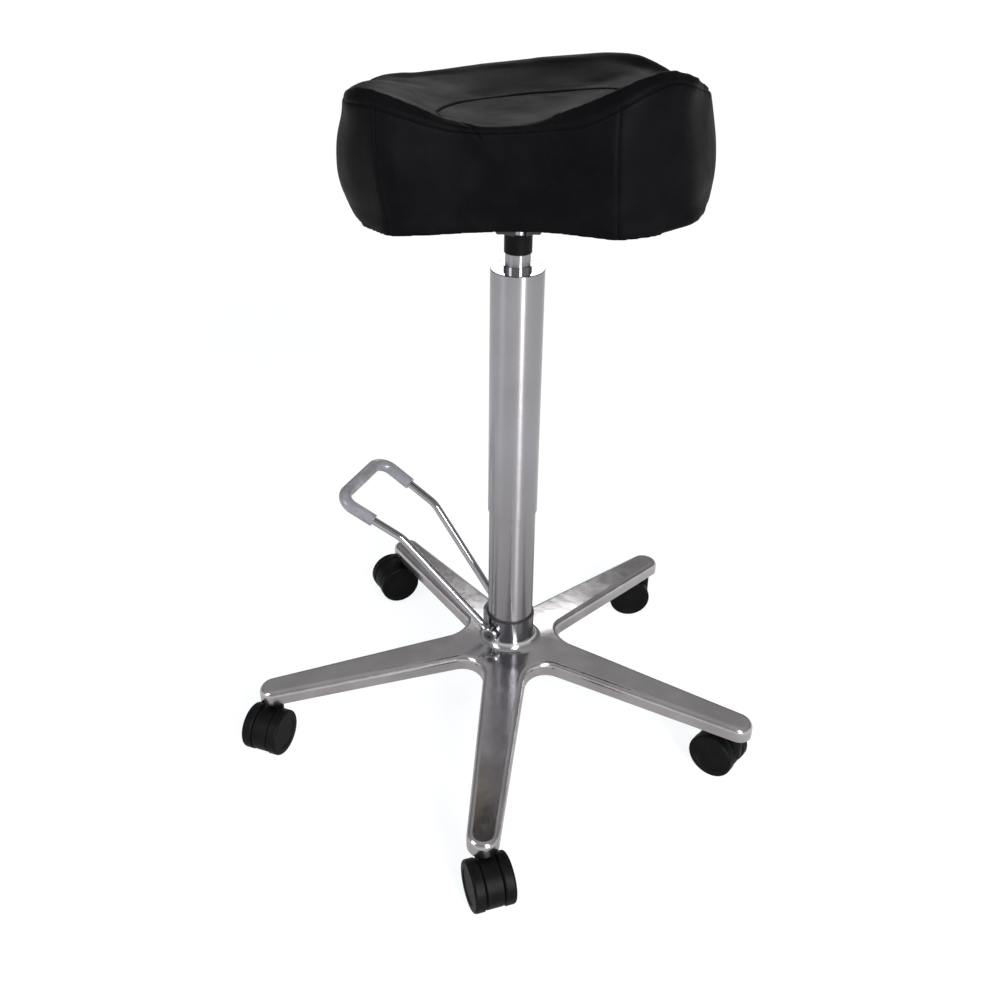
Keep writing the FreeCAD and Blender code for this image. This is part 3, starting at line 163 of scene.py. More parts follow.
class Finish:
    """One material's node tree, with short calls for the nodes used here."""

    def __init__(self, name):
        self.material = bpy.data.materials.new(name)
        self.material.use_nodes = True
        self.tree = self.material.node_tree
        self.shader = self.tree.nodes["Principled BSDF"]
        self.place = self.node("ShaderNodeTexCoord").outputs["Object"]
        self.normal = None

    def node(self, kind, **settings):
        made = self.tree.nodes.new(kind)
        for key, value in settings.items():
            setattr(made, key, value)
        return made

    def feed(self, socket, value):
        """Links another node's output to the socket, or sets a plain value on it."""
        if isinstance(value, bpy.types.NodeSocket):
            self.tree.links.new(value, socket)
        else:
            socket.default_value = value

    def set(self, **values):
        """Feeds the shader's sockets, named in lower case with underscores."""
        for key, value in values.items():
            name = key.replace("_", " ").title().replace("Ior", "IOR")
            self.feed(self.shader.inputs[name], value)

    def stretched(self, x=1.0, y=1.0, z=1.0, turn=0.0):
        """Texture space scaled along the axes and turned about Z, in radians."""
        mapping = self.node("ShaderNodeMapping")
        self.feed(mapping.inputs["Vector"], self.place)
        mapping.inputs["Rotation"].default_value = (0.0, 0.0, turn)
        mapping.inputs["Scale"].default_value = (x, y, z)
        return mapping.outputs["Vector"]

    def noise(self, size, detail=3.0, roughness=0.5, place=None, distortion=0.0):
        """Soft random pattern with blotches of that size."""
        made = self.node("ShaderNodeTexNoise")
        self.feed(made.inputs["Vector"], place or self.place)
        made.inputs["Scale"].default_value = 1.0 / size
        made.inputs["Detail"].default_value = detail
        made.inputs["Roughness"].default_value = roughness
        made.inputs["Distortion"].default_value = distortion
        return made.outputs["Fac"]

    def cells(self, size, feature="F1"):
        """Pattern of cells of that size."""
        made = self.node("ShaderNodeTexVoronoi", feature=feature)
        self.feed(made.inputs["Vector"], self.place)
        made.inputs["Scale"].default_value = 1.0 / size
        return made.outputs["Distance"]

    def span(self, value, low, high, to_low=0.0, to_high=1.0):
        """The value's range low to high carried to another range, and held at its ends."""
        made = self.node("ShaderNodeMapRange")
        self.feed(made.inputs["Value"], value)
        for key, number in (("From Min", low), ("From Max", high), ("To Min", to_low), ("To Max", to_high)):
            self.feed(made.inputs[key], number)
        return made.outputs["Result"]

    def maths(self, operation, first, second=0.0):
        made = self.node("ShaderNodeMath", operation=operation)
        self.feed(made.inputs[0], first)
        self.feed(made.inputs[1], second)
        return made.outputs["Value"]

    def blend(self, factor, first, second):
        """Two colours mixed by a factor."""
        made = self.node("ShaderNodeMix", data_type="RGBA")
        self.feed(made.inputs["Factor"], factor)
        colours = [socket for socket in made.inputs if socket.type == "RGBA"]
        for socket, colour in zip(colours, (first, second)):
            self.feed(socket, (*colour, 1.0))
        return next(socket for socket in made.outputs if socket.type == "RGBA")

    def bump(self, height, depth):
        """Adds a relief of that depth to those already laid."""
        made = self.node("ShaderNodeBump")
        made.inputs["Distance"].default_value = depth
        made.inputs["Strength"].default_value = 1.0
        self.feed(made.inputs["Height"], height)
        if self.normal is not None:
            self.feed(made.inputs["Normal"], self.normal)
        self.normal = made.outputs["Normal"]
        self.feed(self.shader.inputs["Normal"], self.normal)

    def mottle(self, dark, light, size):
        """Base colour that drifts between two shades."""
        factor = self.span(self.noise(size, detail=4.0), *SHADES)
        self.set(base_color=self.blend(factor, dark, light))

    def wear(self, sheen, size, detail, roughness=0.5):
        """Roughness that drifts between two values, as where it is handled."""
        pattern = self.noise(size, detail=detail, roughness=roughness)
        self.set(roughness=self.span(pattern, *MOST, *sheen))


def metal(name, dark, light, sheen, blotch=0.05):
    """Bare metal in two shades, with its roughness between the two values of sheen."""
    finish = Finish(name)
    finish.set(metallic=1.0)
    finish.mottle(dark, light, blotch)
    finish.wear(sheen, 0.012, 5.0, 0.6)
    return finish


def chrome():
    """Bright plate with a faint wave."""
    finish = metal("chrome", (0.33, 0.33, 0.35), (0.42, 0.42, 0.44), (0.05, 0.12))
    finish.bump(finish.noise(0.03, detail=2.0), 0.00003)
    return finish.material


def turned(name, dark, light, sheen):
    """Metal ground or turned round its axis: fine grooves run round it and draw the lamps out along it."""
    finish = metal(name, dark, light, sheen, blotch=0.12)
    grooves = finish.noise(0.0006, detail=2.0, place=finish.stretched(0.02, 0.02, 1.0))
    finish.bump(grooves, 0.0000015)
    finish.set(anisotropic=0.92, anisotropic_rotation=0.25)
    tangent = finish.node("ShaderNodeTangent", direction_type="RADIAL", axis="Z")
    finish.feed(finish.shader.inputs["Tangent"], tangent.outputs["Tangent"])
    return finish.material


def cast_aluminium():
    """Pressure-cast, buffed to a near mirror: long soft waves and faint buffing lines."""
    finish = metal("polished_aluminium", (0.42, 0.41, 0.42), (0.50, 0.49, 0.50), (0.12, 0.20))
    finish.bump(finish.noise(0.03, detail=2.0), 0.00022)
    lines = finish.noise(0.0012, detail=3.0, place=finish.stretched(y=0.12, turn=0.6))
    finish.bump(lines, 0.000004)
    return finish.material


def steel(name, dark, light, sheen):
    """Plain steel with a fine grain."""
    finish = metal(name, dark, light, sheen, blotch=0.01)
    finish.bump(finish.noise(0.0011, detail=2.0), 0.00002)
    return finish.material


def moulded(name, dark, light, sheen, gloss=0.5):
    """Injection-moulded plastic: eroded-tool grain and gloss that varies with handling."""
    grain = 0.00003
    finish = Finish(name)
    finish.mottle(dark, light, 0.02)
    finish.wear(sheen, 0.009, 6.0, 0.65)
    finish.bump(finish.cells(0.0007), grain)
    finish.bump(finish.noise(0.02), grain * 3)
    finish.set(specular_ior_level=gloss)
    return finish.material


def pvc_sleeve():
    """Dipped soft vinyl, a cloudy translucent grey with a wet gloss."""
    finish = Finish("grey_pvc")
    finish.mottle((0.155, 0.155, 0.170), (0.235, 0.235, 0.255), 0.025)
    finish.wear((0.22, 0.34), 0.01, 4.0)
    finish.set(subsurface_weight=0.25, subsurface_scale=0.004, coat_weight=0.5, coat_roughness=0.08)
    finish.bump(finish.noise(0.012, detail=2.0), 0.0003)
    return finish.material


def powder_coat():
    """Black powder coat with its orange-peel relief."""
    finish = Finish("black_paint")
    finish.mottle((0.010, 0.010, 0.011), (0.018, 0.018, 0.019), 0.01)
    finish.wear((0.32, 0.5), 0.004, 4.0)
    finish.bump(finish.noise(0.0013, detail=1.0), 0.00008)
    return finish.material


def plywood():
    """Birch ply, with grain lines along the board."""
    finish = Finish("plywood")
    along = finish.stretched(x=0.08, turn=0.14)
    rings = finish.noise(0.006, detail=5.0, place=along, distortion=0.6)
    finish.set(base_color=finish.blend(finish.span(rings, *MOST), (0.44, 0.37, 0.28), (0.60, 0.53, 0.42)))
    finish.set(roughness=finish.span(rings, *MOST, 0.55, 0.75))
    finish.bump(rings, 0.00015)
    return finish.material


def leather(name, dark, light):
    """Upholstery vinyl: creases, pebbled grain of two sizes, and a satin face, glossier where rubbed."""
    finish = Finish(name)
    finish.mottle(dark, light, 0.03)
    finish.wear((0.44, 0.58), 0.05, 5.0, 0.6)
    finish.bump(finish.noise(0.006, detail=2.0), 0.00012)
    finish.bump(finish.span(finish.cells(0.0014, feature="DISTANCE_TO_EDGE"), 0.0, 0.22), 0.00006)
    finish.bump(finish.noise(0.0007, detail=2.0), 0.00002)
    finish.set(specular_ior_level=0.038, specular_tint=(0.85, 0.84, 1.0, 1.0))
    return finish.material


def thread():
    """Twisted polyester sewing thread."""
    finish = Finish("thread")
    twist = finish.noise(0.0004, detail=1.0)
    finish.set(base_color=finish.blend(twist, (0.003, 0.003, 0.0033), (0.009, 0.009, 0.0095)))
    finish.set(roughness=finish.span(twist, *MOST, 0.45, 0.65), specular_ior_level=0.05)
    finish.bump(twist, 0.0001)
    return finish.material


def slot_finishes():
    """The finish of each material slot, and the two that only the pad's pieces use."""
    nylon = ((0.0035, 0.0035, 0.004), (0.006, 0.006, 0.0065), (0.36, 0.48))
    return {
        "polished_aluminium": cast_aluminium(),
        "chrome": chrome(),
        "plain_steel": steel("plain_steel", (0.42, 0.42, 0.43), (0.52, 0.52, 0.52), (0.25, 0.4)),
        "dark_steel": steel("dark_steel", (0.08, 0.08, 0.085), (0.13, 0.13, 0.135), (0.3, 0.45)),
        "black_nylon": moulded("black_nylon", *nylon, gloss=0.06),
        "bearing_plastic": moulded("bearing_plastic", (0.55, 0.54, 0.50), (0.65, 0.64, 0.60), (0.35, 0.5)),
        "black_rubber": moulded("black_rubber", (0.012, 0.012, 0.012), (0.022, 0.022, 0.022), (0.5, 0.7)),
        "grey_pvc": pvc_sleeve(),
        "black_paint": powder_coat(),
        "plywood": plywood(),
        "black_leather": leather("black_leather", (0.0018, 0.0018, 0.0021), (0.0030, 0.0029, 0.0032)),
        "insert_leather": leather("insert_leather", (0.0026, 0.0022, 0.0022), (0.0038, 0.0033, 0.0033)),
        "thread": thread(),
    }


def dress_nodes(by_slot):
    """Gives each CAD node the finish of its slot, or its own where its surface is ground or turned."""
    ground = turned("ground_chrome", (0.29, 0.285, 0.30), (0.33, 0.33, 0.35), (0.24, 0.27))
    own = {name: ground for name in ("upper_column_tube", "lower_column_tube", "gas_cylinder")}
    own["hub_collar"] = turned("turned_aluminium", (0.17, 0.17, 0.185), (0.22, 0.22, 0.235), (0.15, 0.18))
    slot_of = {part["node"]: part["material_slot"] for part in frame["record"]["subparts"]}
    for name, node in NODES.items():
        finish = own.get(name) or by_slot[slot_of[name]]
        for place in node.material_slots:
            place.material = finish
        if not node.material_slots:
            node.data.materials.append(finish)


# The pad's form. It is built in mm in the seat's own frame: X sideways, Y depth, Z height.

BOTTOM = 691.0
# The seat stands on the column, turned and leaning as in the photograph, in degrees.
SEAT_TURN = -8.1
SEAT_LEAN = -3.1
COLUMN = next(joint for joint in frame["joints"] if joint["name"] == "seat_swivel")["pos_m"]
SEAT = (
    Matrix.Translation((COLUMN[0], COLUMN[1], BOTTOM * MM))
    @ Matrix.Rotation(math.radians(SEAT_TURN), 4, "Z")
    @ Matrix.Rotation(math.radians(SEAT_LEAN), 4, "Y")
    @ Matrix.Translation((0.0, 0.0, -BOTTOM * MM))
)
# The pad's sections, left to right: sideways place, front wall, back wall, bottom edge, front seam, front
# crest, sitting surface, back crest, back seam, and how far the bottom edge is drawn in.
PAD_ROWS = np.array([
    (-189.8, 20.0, 98.0, 712.0, 797.0, 802.5, 800.0, 798.0, 790.0, 4.0),
    (-177.1, -35.0, 121.0, 700.5, 804.5, 811.5, 807.5, 802.5, 794.5, 8.0),
    (-158.7, -85.0, 139.5, 694.0, 809.0, 818.5, 811.0, 801.5, 793.5, 14.0),
    (-135.6, -115.0, 152.0, 691.0, 812.0, 826.0, 808.0, 800.0, 792.0, 15.0),
    (-109.4, -131.4, 161.0, 691.0, 811.0, 824.5, 799.0, 801.0, 793.0, 11.5),
    (-80.3, -129.2, 165.0, 691.0, 801.5, 812.5, 789.5, 804.0, 796.0, 8.5),
    (-41.5, -121.7, 169.0, 691.0, 789.5, 795.5, 782.0, 807.0, 799.0, 8.5),
    (2.0, -116.5, 169.5, 691.0, 786.5, 789.5, 781.0, 810.5, 802.5, 9.8),
    (45.9, -118.7, 169.5, 691.0, 788.5, 797.5, 782.0, 813.0, 805.0, 10.4),
    (85.0, -130.6, 166.0, 691.0, 795.5, 813.0, 789.0, 815.0, 807.0, 10.0),
    (114.5, -135.9, 159.4, 691.0, 810.0, 826.5, 798.0, 813.0, 805.0, 8.0),
    (140.9, -124.9, 147.9, 691.0, 821.0, 835.0, 806.0, 803.5, 795.5, 5.5),
    (164.2, -103.4, 132.7, 691.5, 825.0, 835.0, 808.0, 794.0, 786.0, 5.0),
    (182.8, -72.0, 115.1, 693.0, 815.0, 822.5, 804.0, 792.0, 784.0, 5.0),
    (192.8, -14.0, 98.0, 701.0, 801.0, 805.5, 798.0, 791.0, 783.0, 5.0),
])
# The columns that are read by themselves.
FRONT, BACK, FRONT_SEAM, FRONT_CREST, BACK_SEAM, TUCK = 1, 2, 4, 5, 8, 9
LEFT_END, RIGHT_END = PAD_ROWS[0, 0], PAD_ROWS[-1, 0]
# The pad's middle, how far in from a wall the top seam lies, and each rim's width and its fall inwards.
MIDDLE = 2.0
SEAM_INSET = 3.0
RIM_WIDTH = 32.0
RIM_FALL = 7.0
# How far the middle of the front wall stands in or out of its line, as sideways place and depth.
BELLY = ((-190.0, 0.0), (-150.0, 0.0), (-116.0, 0.5), (-94.0, -3.5), (-62.0, 0.0), (-22.0, 4.0), (30.0, 3.0),
         (80.0, 0.0), (102.0, -2.5), (114.0, 0.0), (196.0, 0.0))
# The ends' fullness: how far out of the last section, and how large the section is there.
END_STEPS = ((1.0, 0.97), (2.2, 0.90), (3.2, 0.80), (3.9, 0.66), (4.3, 0.45))
# How many sections the pad has, and the points across its top or bottom, up a wall and over a rim.
SECTION_COUNT = 81
ACROSS_COUNT = 24
WALL_COUNT = 14
RIM_COUNT = 8
# The skin's even faces, in metres, and how often they are smoothed before the swelling.
VOXEL = 0.005
SMOOTHINGS = 4


def smooth_rows(rows, places):
    """Each column of rows along a smooth line through them, read at the given places of the first column."""
    x = rows[:, 0]
    slopes = np.gradient(rows, x, axis=0)
    index = np.clip(np.searchsorted(x, places, side="right") - 1, 0, len(x) - 2)
    step = (x[index + 1] - x[index])[:, None]
    t = (places - x[index])[:, None] / step
    from_first = 2 * t**3 - 3 * t**2 + 1
    from_first_slope = t**3 - 2 * t**2 + t
    from_second = -2 * t**3 + 3 * t**2
    from_second_slope = t**3 - t**2
    made = from_first * rows[index] + from_first_slope * step * slopes[index]
    made = made + from_second * rows[index + 1] + from_second_slope * step * slopes[index + 1]
    made[:, 0] = places
    return made


def through(first, middle, last, count):
    """Points on the parabola from first through middle towards last, without last."""
    t = np.linspace(0.0, 1.0, count, endpoint=False)[:, None]
    first, middle, last = (np.array(p, float) for p in (first, middle, last))
    return first * (1 - t) * (1 - 2 * t) + middle * 4 * t * (1 - t) + last * t * (2 * t - 1)


def pad_section(row):
    """One closed section of the pad as (depth, height) points."""
    place, front, back, low, front_seam, front_crest, seat, back_crest, back_seam, tuck = row
    belly = np.interp(place, *zip(*BELLY))
    rim = min(RIM_WIDTH, (back - front) / 4)
    fall = RIM_FALL * rim / RIM_WIDTH
    inner_front = (front + rim, front_crest - fall)
    inner_back = (back - rim, back_crest - fall)
    seam_front = (front + SEAM_INSET, front_seam)
    seam_back = (back - SEAM_INSET, back_seam)
    bottom_front = (front + tuck, low)
    bottom_back = (back - tuck, low)
    return np.vstack([
        through(bottom_front, ((front + back) / 2, low), bottom_back, ACROSS_COUNT),
        through(bottom_back, (back, (low + back_seam) / 2), seam_back, WALL_COUNT),
        through(seam_back, (back - rim / 2, back_crest), inner_back, RIM_COUNT),
        through(inner_back, ((front + back) / 2, seat), inner_front, ACROSS_COUNT),
        through(inner_front, (front + rim / 2, front_crest), seam_front, RIM_COUNT),
        through(seam_front, (front + belly, (low + front_seam) / 2), bottom_front, WALL_COUNT),
    ])


def end_sections(edge, section, side):
    """The sections that close one end, from the pad outwards, each with its sideways place."""
    middle = section.mean(axis=0)
    return [(edge + side * out, middle + (section - middle) * share) for out, share in END_STEPS]


def pad_mesh():
    """The pad's closed skin, in metres."""
    places = np.linspace(LEFT_END, RIGHT_END, SECTION_COUNT)
    sections = [(row[0], pad_section(row)) for row in smooth_rows(PAD_ROWS, places)]
    left = end_sections(*sections[0], -1)
    right = end_sections(*sections[-1], 1)
    bm = bmesh.new()
    rings = [
        [bm.verts.new((x * MM, y * MM, z * MM)) for y, z in section]
        for x, section in left[::-1] + sections + right
    ]
    add_tube(bm, rings)
    return mesh_of(bm, "seat_pad")


# Seam lines.

# The upright seams' places, front and back.
UPRIGHT_SEAMS = (-113.0, 113.0)
# Outline of the sewn-in sitting panel, from the front seam round to it again, as sideways place and depth.
INSERT_CORNERS = np.array([
    (-17.0, -114.5), (-24.0, -110.5), (-33.0, -105.0), (-47.0, -95.0), (-60.0, -80.0), (-69.0, -57.0),
    (-71.5, -25.0), (-70.5, 0.0), (-63.5, 29.0), (-48.0, 47.0), (-26.0, 59.0), (15.0, 67.5), (57.0, 70.0),
    (84.0, 62.0), (101.0, 43.0), (110.0, 12.0), (112.0, -25.0), (110.0, -60.0), (103.0, -85.0), (90.0, -99.0),
    (76.0, -99.0), (64.0, -101.0), (56.0, -106.0), (51.0, -114.5),
])
# The front rim's ridges: where each starts and ends.
RIDGE_ENDS = ((-160.0, -34.0), (42.0, 166.0))
# How many points a line along a wall and a line down it have.
EDGE_COUNT = 241
UPRIGHT_COUNT = 40
# The height that the panel's outline falls from, and the lowest that it may land, in metres.
ABOVE = 900.0
LOWEST_TOP = 0.775
# The points' pitch on lines laid before and after the swelling.
COARSE_PITCH = 2.0
FINE_PITCH = 1.0


def resampled(line, pitch):
    """Points along a line at an even pitch."""
    steps = np.linalg.norm(np.diff(line, axis=0), axis=1)
    along = np.concatenate([[0.0], np.cumsum(steps)])
    wanted = np.arange(0.0, along[-1], pitch)
    return np.stack([np.interp(wanted, along, line[:, i]) for i in range(line.shape[1])], 1)


def rounded(line, times=3):
    """The line with its corners cut, its ends kept."""
    for _ in range(times):
        starts = line[:-1] * 0.75 + line[1:] * 0.25
        ends = line[:-1] * 0.25 + line[1:] * 0.75
        cut = np.stack([starts, ends], 1).reshape(-1, line.shape[1])
        line = np.vstack([line[:1], cut, line[-1:]])
    return line


def edge_line(wall, inset, height, start=LEFT_END, end=RIGHT_END):
    """A line along the front or back wall, as sideways place, depth and height."""
    places = np.linspace(start, end, EDGE_COUNT)
    rows = smooth_rows(PAD_ROWS, places)
    return np.stack([places, rows[:, wall] + inset, rows[:, height]], 1)


def upright(wall, place):
    """A line down a wall, from the top seam to the bottom edge."""
    row = smooth_rows(PAD_ROWS, np.array([place]))[0]
    top = row[FRONT_SEAM if wall == FRONT else BACK_SEAM]
    heights = np.linspace(top, BOTTOM + 1.0, UPRIGHT_COUNT)
    return np.stack([np.full(UPRIGHT_COUNT, place), np.full(UPRIGHT_COUNT, row[wall]), heights], 1)


def seam_lines():
    """The pad's seams: round the top, down the walls, round the sitting panel."""
    front = edge_line(FRONT, SEAM_INSET, FRONT_SEAM)
    back = edge_line(BACK, -SEAM_INSET, BACK_SEAM)
    loop = np.vstack([front, back[::-1], front[:1]])
    walls = [upright(wall, place) for wall in (FRONT, BACK) for place in UPRIGHT_SEAMS]
    flat = rounded(INSERT_CORNERS)
    insert = np.column_stack([flat, np.full(len(flat), ABOVE)])
    return loop, walls, insert


def laid(line, tree, pitch, falling=False):
    """Points along the line, carried onto the skin straight down or to the nearest place, in metres."""
    made = []
    for point in resampled(line, pitch) * MM:
        if falling:
            found = tree.ray_cast(Vector(point), Vector((0.0, 0.0, -1.0)))[0]
            found = found if found and found.z > LOWEST_TOP else None
        else:
            found = tree.find_nearest(Vector(point))[0]
        if found is not None:
            made.append(found)
    return np.array(made)


def skin_tree(mesh):
    bm = bmesh.new()
    bm.from_mesh(mesh)
    tree = BVHTree.FromBMesh(bm)
    bm.free()
    return tree


def distances(places, line):
    """Distance of each place from a line of points, and the number of the nearest point."""
    tree = KDTree(len(line))
    for index, point in enumerate(line):
        tree.insert(point, index)
    tree.balance()
    found = [tree.find(place) for place in places]
    return np.array([item[2] for item in found]), np.array([item[1] for item in found])


def refine(mesh, lines, reach):
    """Splits the faces near the lines into four."""
    away, _ = distances(coordinates(mesh), np.vstack(lines))
    bm = bmesh.new()
    bm.from_mesh(mesh)
    bm.verts.ensure_lookup_table()
    near = away < reach
    edges = [edge for edge in bm.edges if near[edge.verts[0].index] and near[edge.verts[1].index]]
    bmesh.ops.subdivide_edges(bm, edges=edges, cuts=1, use_grid_fill=True)
    bm.to_mesh(mesh)
    bm.free()
    mesh.update()


# Swelling. Lengths are in metres.

# How far inside its form the skin starts, away from the seams and at them, and the reach between the two.
START_INSET = 0.0022
SEAM_START_INSET = 0.0006
INSET_REACH = (0.003, 0.022)
# How near to a seam the cloth is held and where it is free, and how far it is held up from the bottom, in mm.
HELD_REACH = (0.004, 0.010)
HELD_HEIGHT = 6.0
# How far from its start a point may end, and how often those moves are evened.
CLOTH_REACH = 0.0032
CLOTH_EVENINGS = 8
CLOTH_STEPS = 20
CLOTH = {
    "quality": 6,
    "mass": 0.25,
    "use_pressure": True,
    "uniform_pressure_force": 4.0,
    "tension_stiffness": 18.0,
    "compression_stiffness": 18.0,
    "shear_stiffness": 8.0,
    "bending_stiffness": 0.6,
}


def simulate(item, held):
    """Steps the cloth under pressure, with its points held by the given weights, and makes it permanent."""
    group = item.vertex_groups.new(name="held")
    for index, weight in enumerate(held):
        if weight > 0.0:
            group.add([index], float(weight), "REPLACE")
    cloth = item.modifiers.new("cloth", "CLOTH")
    for key, value in CLOTH.items():
        setattr(cloth.settings, key, value)
    cloth.settings.vertex_group_mass = group.name
    cloth.settings.effector_weights.gravity = 0.0
    cloth.point_cache.frame_start = 1
    cloth.point_cache.frame_end = CLOTH_STEPS
    for number in range(1, CLOTH_STEPS + 1):
        bpy.context.scene.frame_set(number)
    apply_modifiers(item)
    bpy.context.scene.frame_set(1)


def inflate(item, seams):
    """Lets the skin swell like a stuffed cover held at its seams and its bottom, within a small reach."""
    mesh = item.data
    places = coordinates(mesh)
    away, _ = distances(places, np.vstack(seams))
    inset = SEAM_START_INSET + (START_INSET - SEAM_START_INSET) * smooth_step(away, *INSET_REACH)
    start = places - normals(mesh) * inset[:, None]
    set_coordinates(mesh, start)
    bottom = start[:, 2] < (BOTTOM + HELD_HEIGHT) * MM
    simulate(item, np.maximum(1.0 - smooth_step(away, *HELD_REACH), bottom))
    moved = coordinates(item.data) - start
    length = np.linalg.norm(moved, axis=1, keepdims=True)
    moved *= np.minimum(1.0, CLOTH_REACH / np.maximum(length, 1e-9))
    set_coordinates(item.data, start + evened(item.data, moved, CLOTH_EVENINGS))


# Seams, ends and hem.

# How deep each kind of seam draws the skin in, and how wide its groove is, in metres.
LOOP_GROOVE = (0.0013, 0.0012)
PANEL_GROOVE = (0.0016, 0.0013)
WALL_GROOVE = (0.0011, 0.0011)
# The panel's seam goes shallow over this part of its length, by this share.
PANEL_FADE = (0.90, 0.97)
PANEL_FADE_SHARE = 0.8
# The swell beside a seam: its height, its distance and its width.
SWELL = (0.00035, 0.0045, 0.003)
# The puckers along a seam: their height, their width, and how many points of the line one takes up.
PUCKER = (0.00022, 0.007, 7)
PUCKER_SEED = 7
# The rim's ridges: their height, their width, and the power that rounds their ends.
RIDGE = (0.0014, 0.0034, 0.7)
# How near to the seams and ridges the faces are split once, and near the seams once more.
SPLIT_REACH = 0.007
SECOND_SPLIT_REACH = 0.0045
# How much further the ends stand out at each height: height, left, right.
END_BELLY = np.array([
    (691.0, -6.0, 9.0), (696.0, -1.0, 8.0), (706.0, 5.0, 6.5), (724.0, 8.5, 6.0), (744.0, 7.5, 4.2),
    (764.0, 4.0, 1.2), (780.0, -1.0, -1.0), (795.0, -5.0, -2.5), (806.0, -7.0, -2.0), (822.0, -7.0, 2.0),
])
END_BELLY_COUNT = 120
# Between which sideways places the ends' belly comes in, left and right, in mm.
LEFT_BELLY_REACH = (130.0, 182.0)
RIGHT_BELLY_REACH = (130.0, 186.0)
# Between which distances from the pad's middle the ends are evened, in metres, and how often.
SOFT_REACH = (0.140, 0.176)
SOFT_EVENINGS = 24
# Above the bottom, the heights between which the skin is drawn over the board's edge, in mm, and how far it
# goes out and down, in metres.
EDGE_HEIGHTS = (3.5, 20.0)
EDGE_OUT = 0.0022
EDGE_DOWN = 0.0042
# The hem on the underside, in mm: how far in it starts, its width, how far it stands under the board, how far
# the skin rises past it, half the width of that rise, and half the length of what it goes round.
HEM_START = 8.0
HEM = 14.0
HEM_DEPTH = 0.9
HEM_RISE = 5.0
HEM_EDGE = 1.5
HEM_HALF_LENGTH = 128.0
# The level part of the underside, in mm: from left to right, and how far above the bottom it may be found.
# Its faces face down at least this much.
LEVEL_LEFT, LEVEL_RIGHT = -146.0, 152.0
LEVEL_HEIGHT = 3.0
FACING_DOWN = -0.5
# The sitting panel's faces lie higher than this, in mm, and face up at least this much.
PANEL_LOWEST = 740.0
PANEL_FACING = 0.4


def press_seams(mesh, loop, walls, insert, ridges, rng):
    """Draws the skin in along its seams, with small puckers beside them, and lifts the rim's ridges."""
    swell_height, swell_away, swell_width = SWELL
    pucker_height, pucker_width, pucker_step = PUCKER
    ridge_height, ridge_width, ridge_power = RIDGE
    places = coordinates(mesh)
    out = normals(mesh)
    depth = np.zeros(len(places))
    grooves = [(loop, LOOP_GROOVE), (insert, PANEL_GROOVE)] + [(wall, WALL_GROOVE) for wall in walls]
    for line, (deep, wide) in grooves:
        away, index = distances(places, line)
        if line is insert:
            deep = deep * (1.0 - PANEL_FADE_SHARE * smooth_step(index / len(line), *PANEL_FADE))
        knots = np.arange(0, len(line), pucker_step)
        wave = np.interp(np.arange(len(line)), knots, rng.uniform(-1, 1, len(knots)))
        depth -= deep * np.exp(-(away / wide) ** 2)
        depth += swell_height * np.exp(-((away - swell_away) / swell_width) ** 2)
        depth += pucker_height * wave[index] * np.exp(-(away / pucker_width) ** 2)
    for ridge in ridges:
        away, index = distances(places, ridge)
        ends = np.sin(np.pi * index / len(ridge)) ** ridge_power
        depth += ridge_height * ends * np.exp(-(away / ridge_width) ** 2)
    set_coordinates(mesh, places + out * depth[:, None])


def soften_ends(mesh):
    """Evens out the skin towards both ends, where the sections turn into the end."""
    places = coordinates(mesh)
    even = evened(mesh, places, SOFT_EVENINGS)
    part = smooth_step(np.abs(places[:, 0] - MIDDLE * MM), *SOFT_REACH)[:, None]
    set_coordinates(mesh, places + (even - places) * part)


def fill_ends(mesh):
    """The ends stand out most a little below the middle of their height."""
    places = coordinates(mesh) / MM
    heights = np.linspace(END_BELLY[0, 0], END_BELLY[-1, 0], END_BELLY_COUNT)
    _, to_left, to_right = smooth_rows(END_BELLY, heights).T
    left = smooth_step(-places[:, 0], *LEFT_BELLY_REACH) * np.interp(places[:, 2], heights, to_left)
    right = smooth_step(places[:, 0], *RIGHT_BELLY_REACH) * np.interp(places[:, 2], heights, to_right)
    places[:, 0] += right - left
    set_coordinates(mesh, places * MM)


def settle(mesh):
    """Draws the skin down tight over the board's edge."""
    places = coordinates(mesh)
    out = normals(mesh)
    first, last = EDGE_HEIGHTS
    low = 1.0 - smooth_step(places[:, 2], (BOTTOM + first) * MM, (BOTTOM + last) * MM)
    places[:, :2] += out[:, :2] * (low * EDGE_OUT)[:, None]
    places[:, 2] -= low * EDGE_DOWN
    set_coordinates(mesh, places)


def tuck_under(mesh):
    """The cover goes round the board's edge and ends in a hem on its underside."""
    places = coordinates(mesh)
    sideways = places[:, 0] / MM
    rows = smooth_rows(PAD_ROWS, np.clip(sideways, LEFT_END, RIGHT_END))
    front = rows[:, FRONT] + rows[:, TUCK] + HEM_START + HEM
    back = rows[:, BACK] - rows[:, TUCK] - HEM_START - HEM
    inside = np.minimum(places[:, 1] / MM - front, back - places[:, 1] / MM)
    inside = np.minimum(inside, HEM_HALF_LENGTH - HEM - np.abs(sideways - MIDDLE))
    level_part = (places[:, 0] > LEVEL_LEFT * MM) & (places[:, 0] < LEVEL_RIGHT * MM)
    level_part &= normals(mesh)[:, 2] < FACING_DOWN
    under = level_part & (places[:, 2] < (BOTTOM + LEVEL_HEIGHT) * MM)
    level = (BOTTOM - HEM_DEPTH + HEM_RISE * smooth_step(inside, -HEM_EDGE, HEM_EDGE)) * MM
    places[:, 2] = np.where(under, level, places[:, 2])
    set_coordinates(mesh, places)


